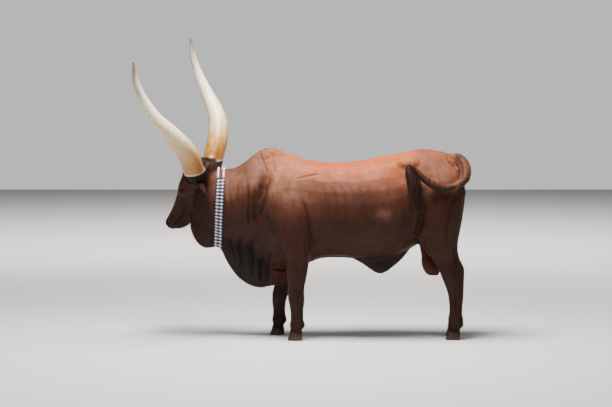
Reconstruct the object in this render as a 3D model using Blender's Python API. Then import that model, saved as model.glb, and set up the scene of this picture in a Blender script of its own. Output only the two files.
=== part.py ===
"""A standing Ankole bull at life size: great upswept horns, a low hump, a deep folded dewlap, a beaded
neck ornament, and a tail swung forward over the left flank.

Metres, +Z up. The bull faces -X and stands on Z = 0. Its left side faces -Y.
The flesh is modelled as overlapping lofted forms, fused into one surface and parted with thin cuts.
Everything that grows on the flesh is trimmed to it with a small clearance.
"""

import math
import random

import bmesh
import bpy
import numpy as np
from mathutils import Matrix, Vector
from mathutils.bvhtree import BVHTree

# ---------------------------------------------------------------- driving dimensions
HUMP_HEIGHT = 1.400
RUMP_HEIGHT = 1.390
GAP = 0.0003  # clearance between neighbouring nodes
VOXEL = 0.0060  # size of the cells that fuse the flesh
SEED = 11

# Head: placed by the middle of the line between the horn roots, then turned and tilted.
HEAD_PLACE = Vector((-0.748, 0.040, 1.253))
HEAD_YAW = math.radians(20.6)  # turned to the bull's right
HEAD_ROLL = math.radians(12.8)  # left side lower
HEAD_PITCH = math.radians(59.8)  # face points this far below level
EYE_RADIUS = 0.0225
EYE_HALF_WIDTH = 0.0175
EYE_HALF_HEIGHT = 0.0115

# Feet: where each leg stands, fore and aft and to the side.
FORE_LEFT_X = -0.070
FORE_RIGHT_X = -0.205
HIND_LEFT_X = 1.088
HIND_RIGHT_X = 1.112
FORE_SIDE = 0.170
HIND_SIDE = 0.135

LOCKS = 9  # hair locks in the tail switch
RING = 28  # points round a large form
UP = Vector((0, 0, 1))
FORE = Vector((-1, 0, 0))
LEFT = Vector((0, -1, 0))


# ---------------------------------------------------------------- shape helpers
def clear_scene():
    """Removes every object that the file opened with."""
    for thing in list(bpy.data.objects):
        bpy.data.objects.remove(thing, do_unlink=True)


def spline_rows(rows, steps):
    """Rows of numbers joined by a Catmull-Rom curve, with `steps` rows to each span."""
    known = np.array(rows, float)
    ends = np.vstack([2 * known[0] - known[1], known, 2 * known[-1] - known[-2]])
    found = []
    for index in range(len(known) - 1):
        p0, p1, p2, p3 = ends[index : index + 4]
        for step in range(steps):
            t = step / steps
            bend = 2 * p0 - 5 * p1 + 4 * p2 - p3
            twist = 3 * p1 - p0 - 3 * p2 + p3
            found.append(0.5 * (2 * p1 + (p2 - p0) * t + bend * t * t + twist * t**3))
    found.append(known[-1])
    return np.array(found)


def ring(centre, side, up, half, rise, drop=None, power=2.0, count=RING):
    """A closed superelliptic ring: `half` along side, `rise` along up and `drop` against it."""
    drop = rise if drop is None else drop
    points = []
    for index in range(count):
        turn = 2 * math.pi * index / count
        c = math.cos(turn)
        s = math.sin(turn)
        across = math.copysign(abs(c) ** (2 / power), c) * half
        along = math.copysign(abs(s) ** (2 / power), s) * (rise if s > 0 else drop)
        points.append(centre + side * across + up * along)
    return points


def new_object(name, mesh):
    thing = bpy.data.objects.new(name, mesh)
    bpy.context.scene.collection.objects.link(thing)
    return thing


def finish_bmesh(name, work):
    """A closed object from a bmesh, with its faces pointing out."""
    work.normal_update()
    bmesh.ops.recalc_face_normals(work, faces=work.faces)
    mesh = bpy.data.meshes.new(name)
    work.to_mesh(mesh)
    work.free()
    return new_object(name, mesh)


def loft(name, rings):
    """A closed solid through a row of rings, each with the same number of points."""
    work = bmesh.new()
    loops = [[work.verts.new(point) for point in row] for row in rings]
    count = len(loops[0])
    for first, second in zip(loops, loops[1:]):
        for index in range(count):
            after = (index + 1) % count
            work.faces.new((first[index], first[after], second[after], second[index]))
    work.faces.new(loops[0])
    work.faces.new(loops[-1])
    return finish_bmesh(name, work)


def tangent_at(centres, index):
    """Direction of the line at one of its points."""
    before = centres[max(index - 1, 0)]
    after = centres[min(index + 1, len(centres) - 1)]
    return (after - before).normalized()


def sweep_rings(centres, radii, flat=1.0, count=14, first_across=UP):
    """Rings of a round tube along centres; `flat` is its second radius over its first."""
    rings = []
    across = first_across
    for index, centre in enumerate(centres):
        tangent = tangent_at(centres, index)
        across = (across - tangent * across.dot(tangent)).normalized()
        other = tangent.cross(across)
        radius = radii[index]
        rings.append(ring(centre, across, other, radius, radius * flat, None, 2.0, count))
    return rings


def sweep(name, centres, radii, flat=1.0, count=14, first_across=UP):
    """A round tube along centres."""
    return loft(name, sweep_rings(centres, radii, flat, count, first_across))


def prism(name, outline, axis, low, high):
    """An outline in the plane across `axis` (0, 1 or 2), extruded from low to high along it."""
    work = bmesh.new()
    loops = []
    for level in (low, high):
        row = []
        for pair in outline:
            place = list(pair)
            place.insert(axis, level)
            row.append(work.verts.new(place))
        loops.append(row)
    count = len(outline)
    for index in range(count):
        after = (index + 1) % count
        work.faces.new((loops[0][index], loops[0][after], loops[1][after], loops[1][index]))
    work.faces.new(loops[0])
    work.faces.new(loops[1])
    bmesh.ops.triangulate(work, faces=[f for f in work.faces if len(f.verts) > 4])
    return finish_bmesh(name, work)


def ellipsoid(name, centre, axes, radii, segments=16, rings=10):
    """A ball with its three radii along the three axes."""
    work = bmesh.new()
    bmesh.ops.create_uvsphere(work, u_segments=segments, v_segments=rings, radius=1.0)
    turn = Matrix([axis.normalized() * radius for axis, radius in zip(axes, radii)]).transposed()
    work.transform(Matrix.Translation(centre) @ turn.to_4x4())
    return finish_bmesh(name, work)


def duplicate(thing, name):
    copy = thing.copy()
    copy.data = thing.data.copy()
    copy.name = name
    bpy.context.scene.collection.objects.link(copy)
    return copy


def discard(*things):
    for thing in things:
        bpy.data.objects.remove(thing, do_unlink=True)


def bake(thing):
    """Applies the object's modifiers."""
    graph = bpy.context.evaluated_depsgraph_get()
    mesh = bpy.data.meshes.new_from_object(thing.evaluated_get(graph))
    thing.modifiers.clear()
    thing.data = mesh
    return thing


def is_closed(mesh):
    """Whether the mesh is a closed surface whose faces all turn the same way."""
    sides = set()
    for face in mesh.polygons:
        corners = list(face.vertices)
        for first, second in zip(corners, corners[1:] + corners[:1]):
            if (first, second) in sides:
                return False
            sides.add((first, second))
    return len(sides) > 0 and all((second, first) in sides for first, second in sides)


def combine(thing, other, operation):
    """Joins, cuts or intersects thing with other, which is kept."""
    sound = is_closed(thing.data) and is_closed(other.data)
    change = thing.modifiers.new("combine", "BOOLEAN")
    change.operation = operation
    change.solver = "MANIFOLD" if sound else "EXACT"
    change.object = other
    return keep_largest(bake(thing))


def keep_largest(thing):
    """Drops every closed surface but the largest."""
    work = bmesh.new()
    work.from_mesh(thing.data)
    unseen = set(work.verts)
    best = []
    while unseen:
        start = unseen.pop()
        group = [start]
        stack = [start]
        while stack:
            for edge in stack.pop().link_edges:
                for vert in edge.verts:
                    if vert in unseen:
                        unseen.remove(vert)
                        group.append(vert)
                        stack.append(vert)
        best = max(best, group, key=len)
    kept = set(best)
    bmesh.ops.delete(work, geom=[v for v in work.verts if v not in kept], context="VERTS")
    work.to_mesh(thing.data)
    work.free()
    return thing


def grown(thing, distance, name="grown"):
    """A copy of thing with its surface moved out by distance."""
    copy = duplicate(thing, name)
    swell = copy.modifiers.new("swell", "DISPLACE")
    swell.strength = distance
    swell.mid_level = 0.0
    return bake(copy)


# ---------------------------------------------------------------- flesh forms
def trunk():
    """Chest, barrel and rump: x, top, bottom, level of the widest point, half-width, squareness."""
    stations = (
        (-0.430, 1.150, 0.690, 0.930, 0.100, 2.0),
        (-0.360, 1.290, 0.600, 0.930, 0.165, 2.1),
        (-0.260, 1.340, 0.545, 0.930, 0.205, 2.1),
        (-0.140, 1.338, 0.530, 0.920, 0.225, 2.1),
        (0.000, 1.312, 0.548, 0.900, 0.242, 2.2),
        (0.120, 1.294, 0.584, 0.890, 0.262, 2.2),
        (0.260, 1.289, 0.588, 0.890, 0.285, 2.2),
        (0.400, 1.305, 0.578, 0.890, 0.300, 2.15),
        (0.540, 1.332, 0.576, 0.900, 0.300, 2.1),
        (0.650, 1.352, 0.596, 0.930, 0.282, 2.05),
        (0.740, 1.372, 0.640, 0.980, 0.252, 2.0),
        (0.830, 1.388, 0.690, 1.040, 0.235, 2.0),
        (0.920, 1.384, 0.740, 1.080, 0.222, 2.0),
        (1.010, 1.366, 0.800, 1.100, 0.195, 2.0),
        (1.080, 1.335, 0.860, 1.120, 0.150, 2.0),
        (1.130, 1.270, 0.930, 1.130, 0.085, 2.0),
    )
    rings = []
    for x, top, bottom, level, half, power in spline_rows(stations, 3):
        centre = Vector((x, 0, level))
        rings.append(ring(centre, LEFT, UP, half, top - level, level - bottom, power))
    return loft("trunk_form", rings)


def hump():
    """The low hump and crest over the withers: x, top, drop below it, half-width."""
    stations = (
        (-0.600, 1.236, 0.150, 0.050),
        (-0.520, 1.252, 0.180, 0.055),
        (-0.440, 1.300, 0.220, 0.064),
        (-0.370, 1.358, 0.260, 0.072),
        (-0.315, 1.391, 0.280, 0.078),
        (-0.262, HUMP_HEIGHT, 0.280, 0.078),
        (-0.200, 1.384, 0.250, 0.072),
        (-0.130, 1.357, 0.200, 0.064),
        (-0.040, 1.331, 0.150, 0.055),
    )
    rings = []
    for x, top, drop, half in spline_rows(stations, 3):
        centre = Vector((x, 0, top - drop / 2))
        rings.append(ring(centre, LEFT, UP, half, drop / 2, drop / 2, 2.0, 20))
    return loft("hump_form", rings)


def neck_middle(x):
    """How far the neck bends to the bull's right at x."""
    return 0.045 * min(1.0, max(0.0, (-0.42 - x) / 0.34)) ** 1.5


def neck():
    """The muscular neck: x, top, bottom, level of the widest point, half-width."""
    stations = (
        (-0.250, 1.300, 0.640, 0.980, 0.190),
        (-0.340, 1.330, 0.650, 1.000, 0.178),
        (-0.430, 1.292, 0.680, 1.010, 0.160),
        (-0.520, 1.250, 0.706, 1.015, 0.142),
        (-0.610, 1.239, 0.730, 1.020, 0.122),
        (-0.670, 1.240, 0.756, 1.020, 0.108),
        (-0.720, 1.246, 0.776, 1.020, 0.096),
        (-0.765, 1.230, 0.792, 1.000, 0.082),
        (-0.805, 1.130, 0.806, 0.960, 0.060),
        (-0.832, 1.040, 0.820, 0.920, 0.036),
    )
    rings = []
    for x, top, bottom, level, half in spline_rows(stations, 3):
        centre = Vector((x, neck_middle(x), level))
        rings.append(ring(centre, LEFT, UP, half, top - level, level - bottom, 2.0))
    return loft("neck_form", rings)


def dewlap():
    """The hanging skin from throat to brisket: x, lower edge, upper edge, half-thickness, sway."""
    stations = (
        (-0.856, 0.806, 0.900, 0.018, 0.000),
        (-0.836, 0.748, 0.930, 0.034, 0.000),
        (-0.800, 0.690, 0.950, 0.046, 0.003),
        (-0.755, 0.657, 0.950, 0.052, 0.004),
        (-0.705, 0.656, 0.940, 0.050, 0.000),
        (-0.655, 0.668, 0.930, 0.042, 0.000),
        (-0.622, 0.638, 0.930, 0.040, -0.004),
        (-0.590, 0.570, 0.920, 0.038, -0.009),
        (-0.545, 0.495, 0.910, 0.037, 0.010),
        (-0.490, 0.435, 0.900, 0.037, -0.012),
        (-0.425, 0.389, 0.880, 0.038, 0.011),
        (-0.355, 0.367, 0.860, 0.040, -0.010),
        (-0.290, 0.374, 0.840, 0.042, 0.009),
        (-0.230, 0.386, 0.820, 0.044, -0.006),
        (-0.180, 0.404, 0.800, 0.045, 0.004),
        (-0.140, 0.445, 0.780, 0.044, 0.000),
        (-0.095, 0.520, 0.740, 0.040, 0.000),
    )
    fullness = (0.30, 0.62, 0.86, 1.0, 1.10, 1.25, 1.45, 1.6)
    rings = []
    for x, low, high, half, sway in spline_rows(stations, 3):
        near = []
        far = []
        for index, share in enumerate(fullness):
            t = index / (len(fullness) - 1)
            z = low + (high - low) * t
            shift = neck_middle(x) + sway * (1 - t) ** 1.5
            front = min(1.0, max(0.0, (-0.760 - x) / 0.080))
            breadth = half * share * (1 - 0.88 * front * t**3)
            near.append(Vector((x, shift - breadth, z)))
            far.append(Vector((x, shift + breadth, z)))
        rings.append(near + far[::-1])
    return loft("dewlap_form", rings)


def foreleg_form(side, foot_x):
    """Shoulder to pastern: z, x, y, half-depth, half-breadth. Below the elbow x is from the foot."""
    lean = foot_x - FORE_LEFT_X
    stations = (
        (1.285, -0.160, 0.050, 0.070, 0.036),
        (1.210, -0.172, 0.086, 0.125, 0.058),
        (1.090, -0.182, 0.126, 0.158, 0.080),
        (0.960, -0.180, 0.150, 0.168, 0.090),
        (0.840, -0.152, 0.164, 0.160, 0.089),
        (0.735, -0.105, 0.172, 0.136, 0.084),
        (0.640, -0.068, 0.174, 0.104, 0.074),
        (0.560, -0.062, FORE_SIDE, 0.078, 0.063),
        (0.480, -0.066, FORE_SIDE, 0.068, 0.055),
        (0.400, -0.070, FORE_SIDE, 0.058, 0.048),
        (0.345, -0.072, FORE_SIDE, 0.055, 0.048),
        (0.300, -0.070, FORE_SIDE, 0.054, 0.050),
        (0.255, -0.068, FORE_SIDE, 0.046, 0.041),
        (0.205, -0.067, FORE_SIDE, 0.040, 0.033),
        (0.150, -0.066, FORE_SIDE, 0.040, 0.034),
        (0.112, -0.065, FORE_SIDE, 0.049, 0.044),
        (0.080, -0.070, FORE_SIDE, 0.043, 0.043),
        (0.050, -0.073, FORE_SIDE, 0.047, 0.049),
        (0.020, -0.075, FORE_SIDE, 0.044, 0.046),
    )
    rings = []
    for z, x, y, depth, breadth in spline_rows(stations, 3):
        swing = lean * min(1.0, max(0.0, (0.80 - z) / 0.55))
        centre = Vector((x + swing, side * y, z))
        rings.append(ring(centre, LEFT, FORE, breadth, depth, depth, 2.1, 20))
    return loft("foreleg_form", rings)


def hindleg_form(side, foot_x):
    """Haunch to pastern: z, x, y, half-depth, half-breadth."""
    lean = foot_x - HIND_LEFT_X
    stations = (
        (1.300, 0.900, 0.090, 0.120, 0.060),
        (1.200, 0.945, 0.120, 0.180, 0.088),
        (1.080, 0.968, 0.138, 0.190, 0.102),
        (0.960, 0.970, 0.146, 0.178, 0.104),
        (0.860, 0.965, 0.148, 0.168, 0.098),
        (0.770, 0.960, 0.146, 0.156, 0.088),
        (0.700, 0.968, 0.144, 0.138, 0.076),
        (0.640, 0.988, 0.142, 0.118, 0.063),
        (0.580, 1.020, HIND_SIDE, 0.098, 0.052),
        (0.520, 1.054, HIND_SIDE, 0.088, 0.046),
        (0.470, 1.066, HIND_SIDE, 0.076, 0.045),
        (0.425, 1.074, HIND_SIDE, 0.067, 0.042),
        (0.370, 1.084, HIND_SIDE, 0.055, 0.037),
        (0.300, 1.091, HIND_SIDE, 0.045, 0.033),
        (0.220, 1.089, HIND_SIDE, 0.038, 0.032),
        (0.155, 1.088, HIND_SIDE, 0.040, 0.034),
        (0.112, 1.088, HIND_SIDE, 0.049, 0.044),
        (0.080, 1.081, HIND_SIDE, 0.043, 0.042),
        (0.050, 1.077, HIND_SIDE, 0.046, 0.048),
        (0.020, 1.075, HIND_SIDE, 0.043, 0.045),
    )
    rings = []
    for z, x, y, depth, breadth in spline_rows(stations, 3):
        swing = lean * min(1.0, max(0.0, (0.90 - z) / 0.55))
        centre = Vector((x + swing, side * y, z))
        rings.append(ring(centre, LEFT, FORE, breadth, depth, depth, 2.1, 20))
    return loft("hindleg_form", rings)


# ---------------------------------------------------------------- head frame
def head_axes():
    """Unit vectors of the head: along the face, out of the forehead, and to the bull's left."""
    heading = Vector((-math.cos(HEAD_YAW), math.sin(HEAD_YAW), 0))
    flat_left = Vector((-math.sin(HEAD_YAW), -math.cos(HEAD_YAW), 0))
    left = flat_left * math.cos(HEAD_ROLL) - UP * math.sin(HEAD_ROLL)
    top = UP * math.cos(HEAD_ROLL) + flat_left * math.sin(HEAD_ROLL)
    along = heading * math.cos(HEAD_PITCH) - top * math.sin(HEAD_PITCH)
    out = heading * math.sin(HEAD_PITCH) + top * math.cos(HEAD_PITCH)
    return along, out, left


ALONG, OUT, HEAD_LEFT = head_axes()


def head_point(along, out, left):
    """A place on the head, from the middle of the line between the horn roots."""
    return HEAD_PLACE + ALONG * along + OUT * out + HEAD_LEFT * left


def skull():
    """Forehead, face and upper lip: along, top, widest level, bottom, half-width, squareness."""
    stations = (
        (-0.080, 0.036, -0.010, -0.060, 0.050, 2.0),
        (-0.055, 0.066, 0.000, -0.080, 0.084, 2.2),
        (-0.010, 0.096, 0.015, -0.085, 0.110, 2.4),
        (0.050, 0.112, 0.030, -0.080, 0.114, 2.5),
        (0.120, 0.117, 0.040, -0.075, 0.108, 2.5),
        (0.190, 0.114, 0.042, -0.070, 0.103, 2.5),
        (0.260, 0.105, 0.038, -0.062, 0.089, 2.4),
        (0.340, 0.097, 0.034, -0.050, 0.076, 2.4),
        (0.405, 0.092, 0.034, -0.040, 0.070, 2.4),
        (0.459, 0.093, 0.036, -0.030, 0.076, 2.6),
        (0.502, 0.092, 0.038, -0.022, 0.080, 2.8),
        (0.531, 0.086, 0.038, -0.010, 0.077, 2.8),
        (0.548, 0.072, 0.036, 0.000, 0.064, 2.5),
        (0.557, 0.056, 0.034, 0.012, 0.040, 2.2),
    )
    rings = []
    for along, top, level, bottom, half, power in spline_rows(stations, 3):
        centre = head_point(along, level, 0)
        rings.append(ring(centre, HEAD_LEFT, OUT, half, top - level, level - bottom, power))
    return loft("skull_form", rings)


def jaw():
    """Cheeks, lower jaw and chin: along, top, widest level, bottom, half-width."""
    stations = (
        (-0.040, 0.020, -0.040, -0.080, 0.056),
        (0.020, 0.040, -0.045, -0.122, 0.086),
        (0.090, 0.040, -0.050, -0.140, 0.096),
        (0.160, 0.040, -0.050, -0.136, 0.091),
        (0.240, 0.035, -0.048, -0.121, 0.075),
        (0.332, 0.030, -0.044, -0.107, 0.060),
        (0.417, 0.025, -0.038, -0.094, 0.052),
        (0.470, 0.025, -0.030, -0.078, 0.054),
        (0.507, 0.028, -0.018, -0.056, 0.052),
        (0.531, 0.026, -0.006, -0.032, 0.040),
        (0.543, 0.018, 0.000, -0.012, 0.020),
    )
    rings = []
    for along, top, level, bottom, half in spline_rows(stations, 3):
        centre = head_point(along, level, 0)
        rings.append(ring(centre, HEAD_LEFT, OUT, half, top - level, level - bottom, 2.2))
    return loft("jaw_form", rings)


HORN_PATH = (
    (0.0060, -0.0450, 0.0950),
    (0.0053, 0.0149, 0.1703),
    (-0.0084, 0.1294, 0.2506),
    (0.0049, 0.2350, 0.3340),
    (0.0545, 0.3445, 0.3990),
    (0.1256, 0.4574, 0.4513),
    (0.1893, 0.5887, 0.4789),
    (0.2325, 0.7298, 0.4931),
    (0.2394, 0.8851, 0.4914),
)  # forward, up and to the side of the head's place, in the head's own turn and tilt
HORN_RADII = (0.078, 0.079, 0.079, 0.074, 0.063, 0.049, 0.036, 0.025, 0.006)


BOSS_SHARES = ((-0.60, 0.60), (-0.40, 0.82), (-0.15, 0.95), (0.10, 0.99), (0.26, 0.95), (0.36, 0.80))


def head_level_axes():
    """Unit vectors of the turned and tilted head, before its pitch: forward, up, to the left."""
    heading = Vector((-math.cos(HEAD_YAW), math.sin(HEAD_YAW), 0))
    flat_left = Vector((-math.sin(HEAD_YAW), -math.cos(HEAD_YAW), 0))
    left = flat_left * math.cos(HEAD_ROLL) - UP * math.sin(HEAD_ROLL)
    top = UP * math.cos(HEAD_ROLL) + flat_left * math.sin(HEAD_ROLL)
    return heading, top, left


def horn_rows(side):
    """Centre and radius at each point of one horn's path."""
    heading, top, left = head_level_axes()
    rows = []
    for (ahead, rise, out), radius in zip(HORN_PATH, HORN_RADII):
        rows.append((*(HEAD_PLACE + heading * ahead + top * rise + left * out * side), radius))
    return rows


def horn_boss(side):
    """The collar of hide round the root of one horn; the shares count the path's first span."""
    rows = horn_rows(side)
    root = Vector(rows[0][:3])
    span = Vector(rows[1][:3]) - root
    heading, top, _ = head_level_axes()
    lean = heading * 0.016 - top * 0.007
    centres = [root + span * share + lean for share, _ in BOSS_SHARES]
    radii = [HORN_RADII[0] * width for _, width in BOSS_SHARES]
    return sweep("boss_form", centres, radii, 1.0, 16)


EYE_PLACE = (0.205, 0.051, 0.1075)  # along the face, out of the forehead, to the side


def head_extras():
    """Brow, eye socket and nostril swellings on both sides."""
    forms = []
    for side in (1, -1):
        forms.append(horn_boss(side))
        eye = head_point(EYE_PLACE[0], EYE_PLACE[1], side * (EYE_PLACE[2] - 0.020))
        forms.append(ellipsoid("brow_form", eye, (ALONG, OUT, HEAD_LEFT), (0.052, 0.040, 0.032)))
        nose = head_point(0.509, 0.056, side * 0.040)
        forms.append(ellipsoid("nose_form", nose, (ALONG, OUT, HEAD_LEFT), (0.036, 0.034, 0.031)))
        hip = Vector((0.745, side * 0.112, 1.264))
        forms.append(ellipsoid("hip_form", hip, (FORE, LEFT, UP), (0.125, 0.080, 0.070)))
        pin = Vector((1.085, side * 0.095, 1.190))
        forms.append(ellipsoid("pin_form", pin, (FORE, LEFT, UP), (0.055, 0.055, 0.075)))
    return forms


def sheath():
    """The pendulous sheath under the belly: x, lower edge, half-thickness."""
    stations = (
        (0.330, 0.585, 0.020),
        (0.390, 0.556, 0.034),
        (0.440, 0.524, 0.040),
        (0.490, 0.488, 0.042),
        (0.540, 0.468, 0.040),
        (0.590, 0.482, 0.038),
        (0.640, 0.520, 0.036),
        (0.700, 0.570, 0.032),
        (0.760, 0.640, 0.024),
    )
    rings = []
    for x, low, half in spline_rows(stations, 3):
        high = 0.70
        centre = Vector((x, 0, low + 0.05))
        rings.append(ring(centre, LEFT, UP, half, high - low - 0.05, 0.05, 2.2, 16))
    return loft("sheath_form", rings)


def scrotum():
    """The hanging scrotum: z, x, half-depth, half-breadth."""
    stations = (
        (0.760, 0.850, 0.036, 0.040),
        (0.690, 0.868, 0.040, 0.046),
        (0.630, 0.886, 0.046, 0.052),
        (0.570, 0.904, 0.054, 0.062),
        (0.520, 0.918, 0.056, 0.066),
        (0.480, 0.930, 0.044, 0.054),
        (0.460, 0.936, 0.022, 0.028),
    )
    rings = []
    for z, x, depth, breadth in spline_rows(stations, 3):
        rings.append(ring(Vector((x, 0, z)), LEFT, FORE, breadth, depth, depth, 2.0, 18))
    return loft("scrotum_form", rings)


def fused_flesh():
    """All flesh forms fused into one smooth closed surface."""
    forms = [trunk(), hump(), neck(), dewlap(), skull(), jaw(), sheath(), scrotum()]
    forms += head_extras()
    for side, x in ((-1, FORE_LEFT_X), (1, FORE_RIGHT_X)):
        forms.append(foreleg_form(side, x))
    for side, x in ((-1, HIND_LEFT_X), (1, HIND_RIGHT_X)):
        forms.append(hindleg_form(side, x))
    work = bmesh.new()
    for form in forms:
        work.from_mesh(form.data)
    discard(*forms)
    mesh = bpy.data.meshes.new("flesh")
    work.to_mesh(mesh)
    work.free()
    flesh = new_object("flesh", mesh)
    fuse = flesh.modifiers.new("fuse", "REMESH")
    fuse.mode = "VOXEL"
    fuse.voxel_size = VOXEL
    soften = flesh.modifiers.new("soften", "SMOOTH")
    soften.factor = 0.5
    soften.iterations = 10
    return keep_largest(bake(flesh))


# ---------------------------------------------------------------- parting the flesh into nodes
def offset_outline(outline, distance):
    """A closed outline with every side moved out by distance."""
    count = len(outline)
    twice = 0.0
    for index in range(count):
        (x0, z0), (x1, z1) = outline[index], outline[(index + 1) % count]
        twice += x0 * z1 - x1 * z0
    sense = 1 if twice > 0 else -1
    moved = []
    for index in range(count):
        here = Vector(outline[index])
        before = (here - Vector(outline[index - 1])).normalized()
        after = (Vector(outline[(index + 1) % count]) - here).normalized()
        first = Vector((before.y, -before.x)) * sense
        second = Vector((after.y, -after.x)) * sense
        both = first + second
        moved.append(tuple(here + both * (distance * 2 / both.dot(both))))
    return moved


class Region:
    """A prism across the body: a side outline (x, z) and a range of y."""

    def __init__(self, outline, low=-0.60, high=0.60):
        self.outline = outline
        self.low = low
        self.high = high

    def solid(self, growth):
        """The prism with all its sides moved out by growth."""
        outline = offset_outline(self.outline, growth)
        return prism("region", outline, 1, self.low - growth, self.high + growth)


HEAD_CUT = ((-0.655, 1.60), (-0.664, 1.25), (-0.722, 0.78), (-0.760, 0.45))
SHOULDER_CUT = ((-0.290, 1.60), (-0.340, 1.10), (-0.410, 0.30))

HEAD = Region(((-1.30, 0.45), *HEAD_CUT[::-1], (-1.30, 1.60)))
NECK = Region((*HEAD_CUT, *SHOULDER_CUT[::-1]))
TORSO = Region((*SHOULDER_CUT, (1.40, 0.30), (1.40, 1.60)))
DEWLAP = Region(
    (
        (-0.864, 0.40),
        (-0.864, 0.830),
        (-0.820, 0.822),
        (-0.760, 0.788),
        (-0.690, 0.748),
        (-0.610, 0.712),
        (-0.520, 0.680),
        (-0.430, 0.635),
        (-0.360, 0.575),
        (-0.260, 0.520),
        (-0.140, 0.506),
        (-0.050, 0.500),
        (-0.050, 0.300),
        (-0.600, 0.300),
    ),
    -0.084,
    0.084,
)
SHEATH = Region(((0.30, 0.40), (0.30, 0.560), (0.78, 0.560), (0.78, 0.40)), -0.07, 0.07)
SCROTUM = Region(((0.78, 0.40), (0.80, 0.668), (1.02, 0.650), (1.02, 0.40)), -0.077, 0.077)


def leg_region(side, front, back, top_front, top_back, inner):
    """The block that holds one leg below the body."""
    outline = ((front, -0.10), (front, top_front), (back, top_back), (back, -0.10))
    low, high = sorted((side * inner, side * 0.50))
    return Region(outline, low, high)


LEGS = {
    "foreleg_left": leg_region(-1, -0.34, 0.14, 0.500, 0.560, 0.088),
    "foreleg_right": leg_region(1, -0.42, 0.10, 0.490, 0.550, 0.088),
    "hindleg_left": leg_region(-1, 0.78, 1.30, 0.600, 0.720, 0.079),
    "hindleg_right": leg_region(1, 0.78, 1.30, 0.600, 0.720, 0.079),
}


def thin_to(piece, budget):
    """Thins the piece to about `budget` triangles, and keeps it closed."""
    dense = piece.data
    faces = sum(len(face.vertices) - 2 for face in dense.polygons)
    for attempt in range(12):
        piece.data = dense
        thin = piece.modifiers.new("thin", "DECIMATE")
        thin.ratio = min(1.0, budget / faces) * (1 - 0.01 * attempt)
        bake(piece)
        if is_closed(piece.data):
            break


def carve(flesh, name, include, exclude, budget):
    """One flesh node: the flesh inside `include` and outside `exclude`, in about `budget` triangles."""
    piece = duplicate(flesh, name)
    margin = 0.012
    for region, growth, operation in (
        (include, margin, "INTERSECT"),
        *((other, -margin, "DIFFERENCE") for other in exclude),
    ):
        tool = region.solid(growth)
        combine(piece, tool, operation)
        discard(tool)
    thin_to(piece, budget)
    for region, growth, operation in (
        (include, -GAP / 2, "INTERSECT"),
        *((other, GAP / 2, "DIFFERENCE") for other in exclude),
    ):
        tool = region.solid(growth)
        combine(piece, tool, operation)
        discard(tool)
    return piece


# ---------------------------------------------------------------- feet
CORONET_SLOPE = 0.28
FEET = {
    "foreleg_left": (FORE_LEFT_X - 0.003, -FORE_SIDE, 0.056, 0.047),
    "foreleg_right": (FORE_RIGHT_X - 0.003, FORE_SIDE, 0.056, 0.047),
    "hindleg_left": (HIND_LEFT_X - 0.012, -HIND_SIDE, 0.054, 0.045),
    "hindleg_right": (HIND_RIGHT_X - 0.012, HIND_SIDE, 0.054, 0.045),
}


def below_coronet(x, growth):
    """The half-space under the sloping coronet of the foot at x, as a block."""
    level = 0.055 + growth
    outline = ((x - 0.3, -0.2), (x + 0.3, -0.2))
    outline += ((x + 0.3, level - 0.3 * CORONET_SLOPE), (x - 0.3, level + 0.3 * CORONET_SLOPE))
    return prism("coronet", outline, 1, -0.6, 0.6)


def claw(name, x, y, side, length, breadth):
    """One claw: flat underneath and along its inner side; `side` is the side it bulges to."""
    rows = (
        (0.000, -0.006, 1.00, 1.00),
        (0.012, -0.004, 0.99, 1.02),
        (0.040, 0.001, 0.90, 0.97),
        (0.085, 0.004, 0.80, 0.88),
    )
    inner = 0.0030
    rings = []
    for z, shift, long_share, broad_share in rows:
        row = []
        for index in range(12):
            turn = 2 * math.pi * index / 12
            c = math.cos(turn)
            s = math.sin(turn)
            across = inner + breadth * broad_share * (0.5 + 0.5 * math.copysign(abs(s) ** 0.62, s))
            toe = 1.0 if c > 0 else 0.90
            along = math.copysign(abs(c) ** 0.9, c) * length * long_share * toe
            lean = 0.12 * (across / breadth - 0.5) * length * max(c, 0.0)
            row.append(Vector((x + shift - along + lean, y + side * across, z)))
        rings.append(row)
    horn = loft(name, rings)
    block = below_coronet(x, -GAP / 2)
    combine(horn, block, "INTERSECT")
    discard(block)
    return horn


def dewclaw(name, place, side, leg_surface):
    """A small blunt claw at the back of the fetlock, trimmed to the leg."""
    axis = Vector((0.62, side * 0.30, -0.72)).normalized()
    across = axis.cross(UP).normalized()
    other = axis.cross(across)
    rings = []
    for along, width in ((-0.020, 0.013), (-0.004, 0.0145), (0.010, 0.0125), (0.020, 0.006)):
        rings.append(ring(place + axis * along, across, other, width, width * 0.85, None, 2, 6))
    horn = loft(name, rings)
    combine(horn, leg_surface, "DIFFERENCE")
    return horn


# ---------------------------------------------------------------- horns
def horn(name, side, trim):
    """One great horn, closed at its root and trimmed to the head."""
    smooth = spline_rows(horn_rows(side), 2)
    centres = [Vector(row[:3]) for row in smooth]
    radii = [row[3] for row in smooth]
    piece = sweep(name, centres, radii, 0.96, 12)
    combine(piece, trim, "DIFFERENCE")
    return piece


# ---------------------------------------------------------------- ears
EAR_ROOT = (0.072, -0.052, 0.094)
EAR_LENGTH = 0.215
EAR_WIDTH = 0.054


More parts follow.
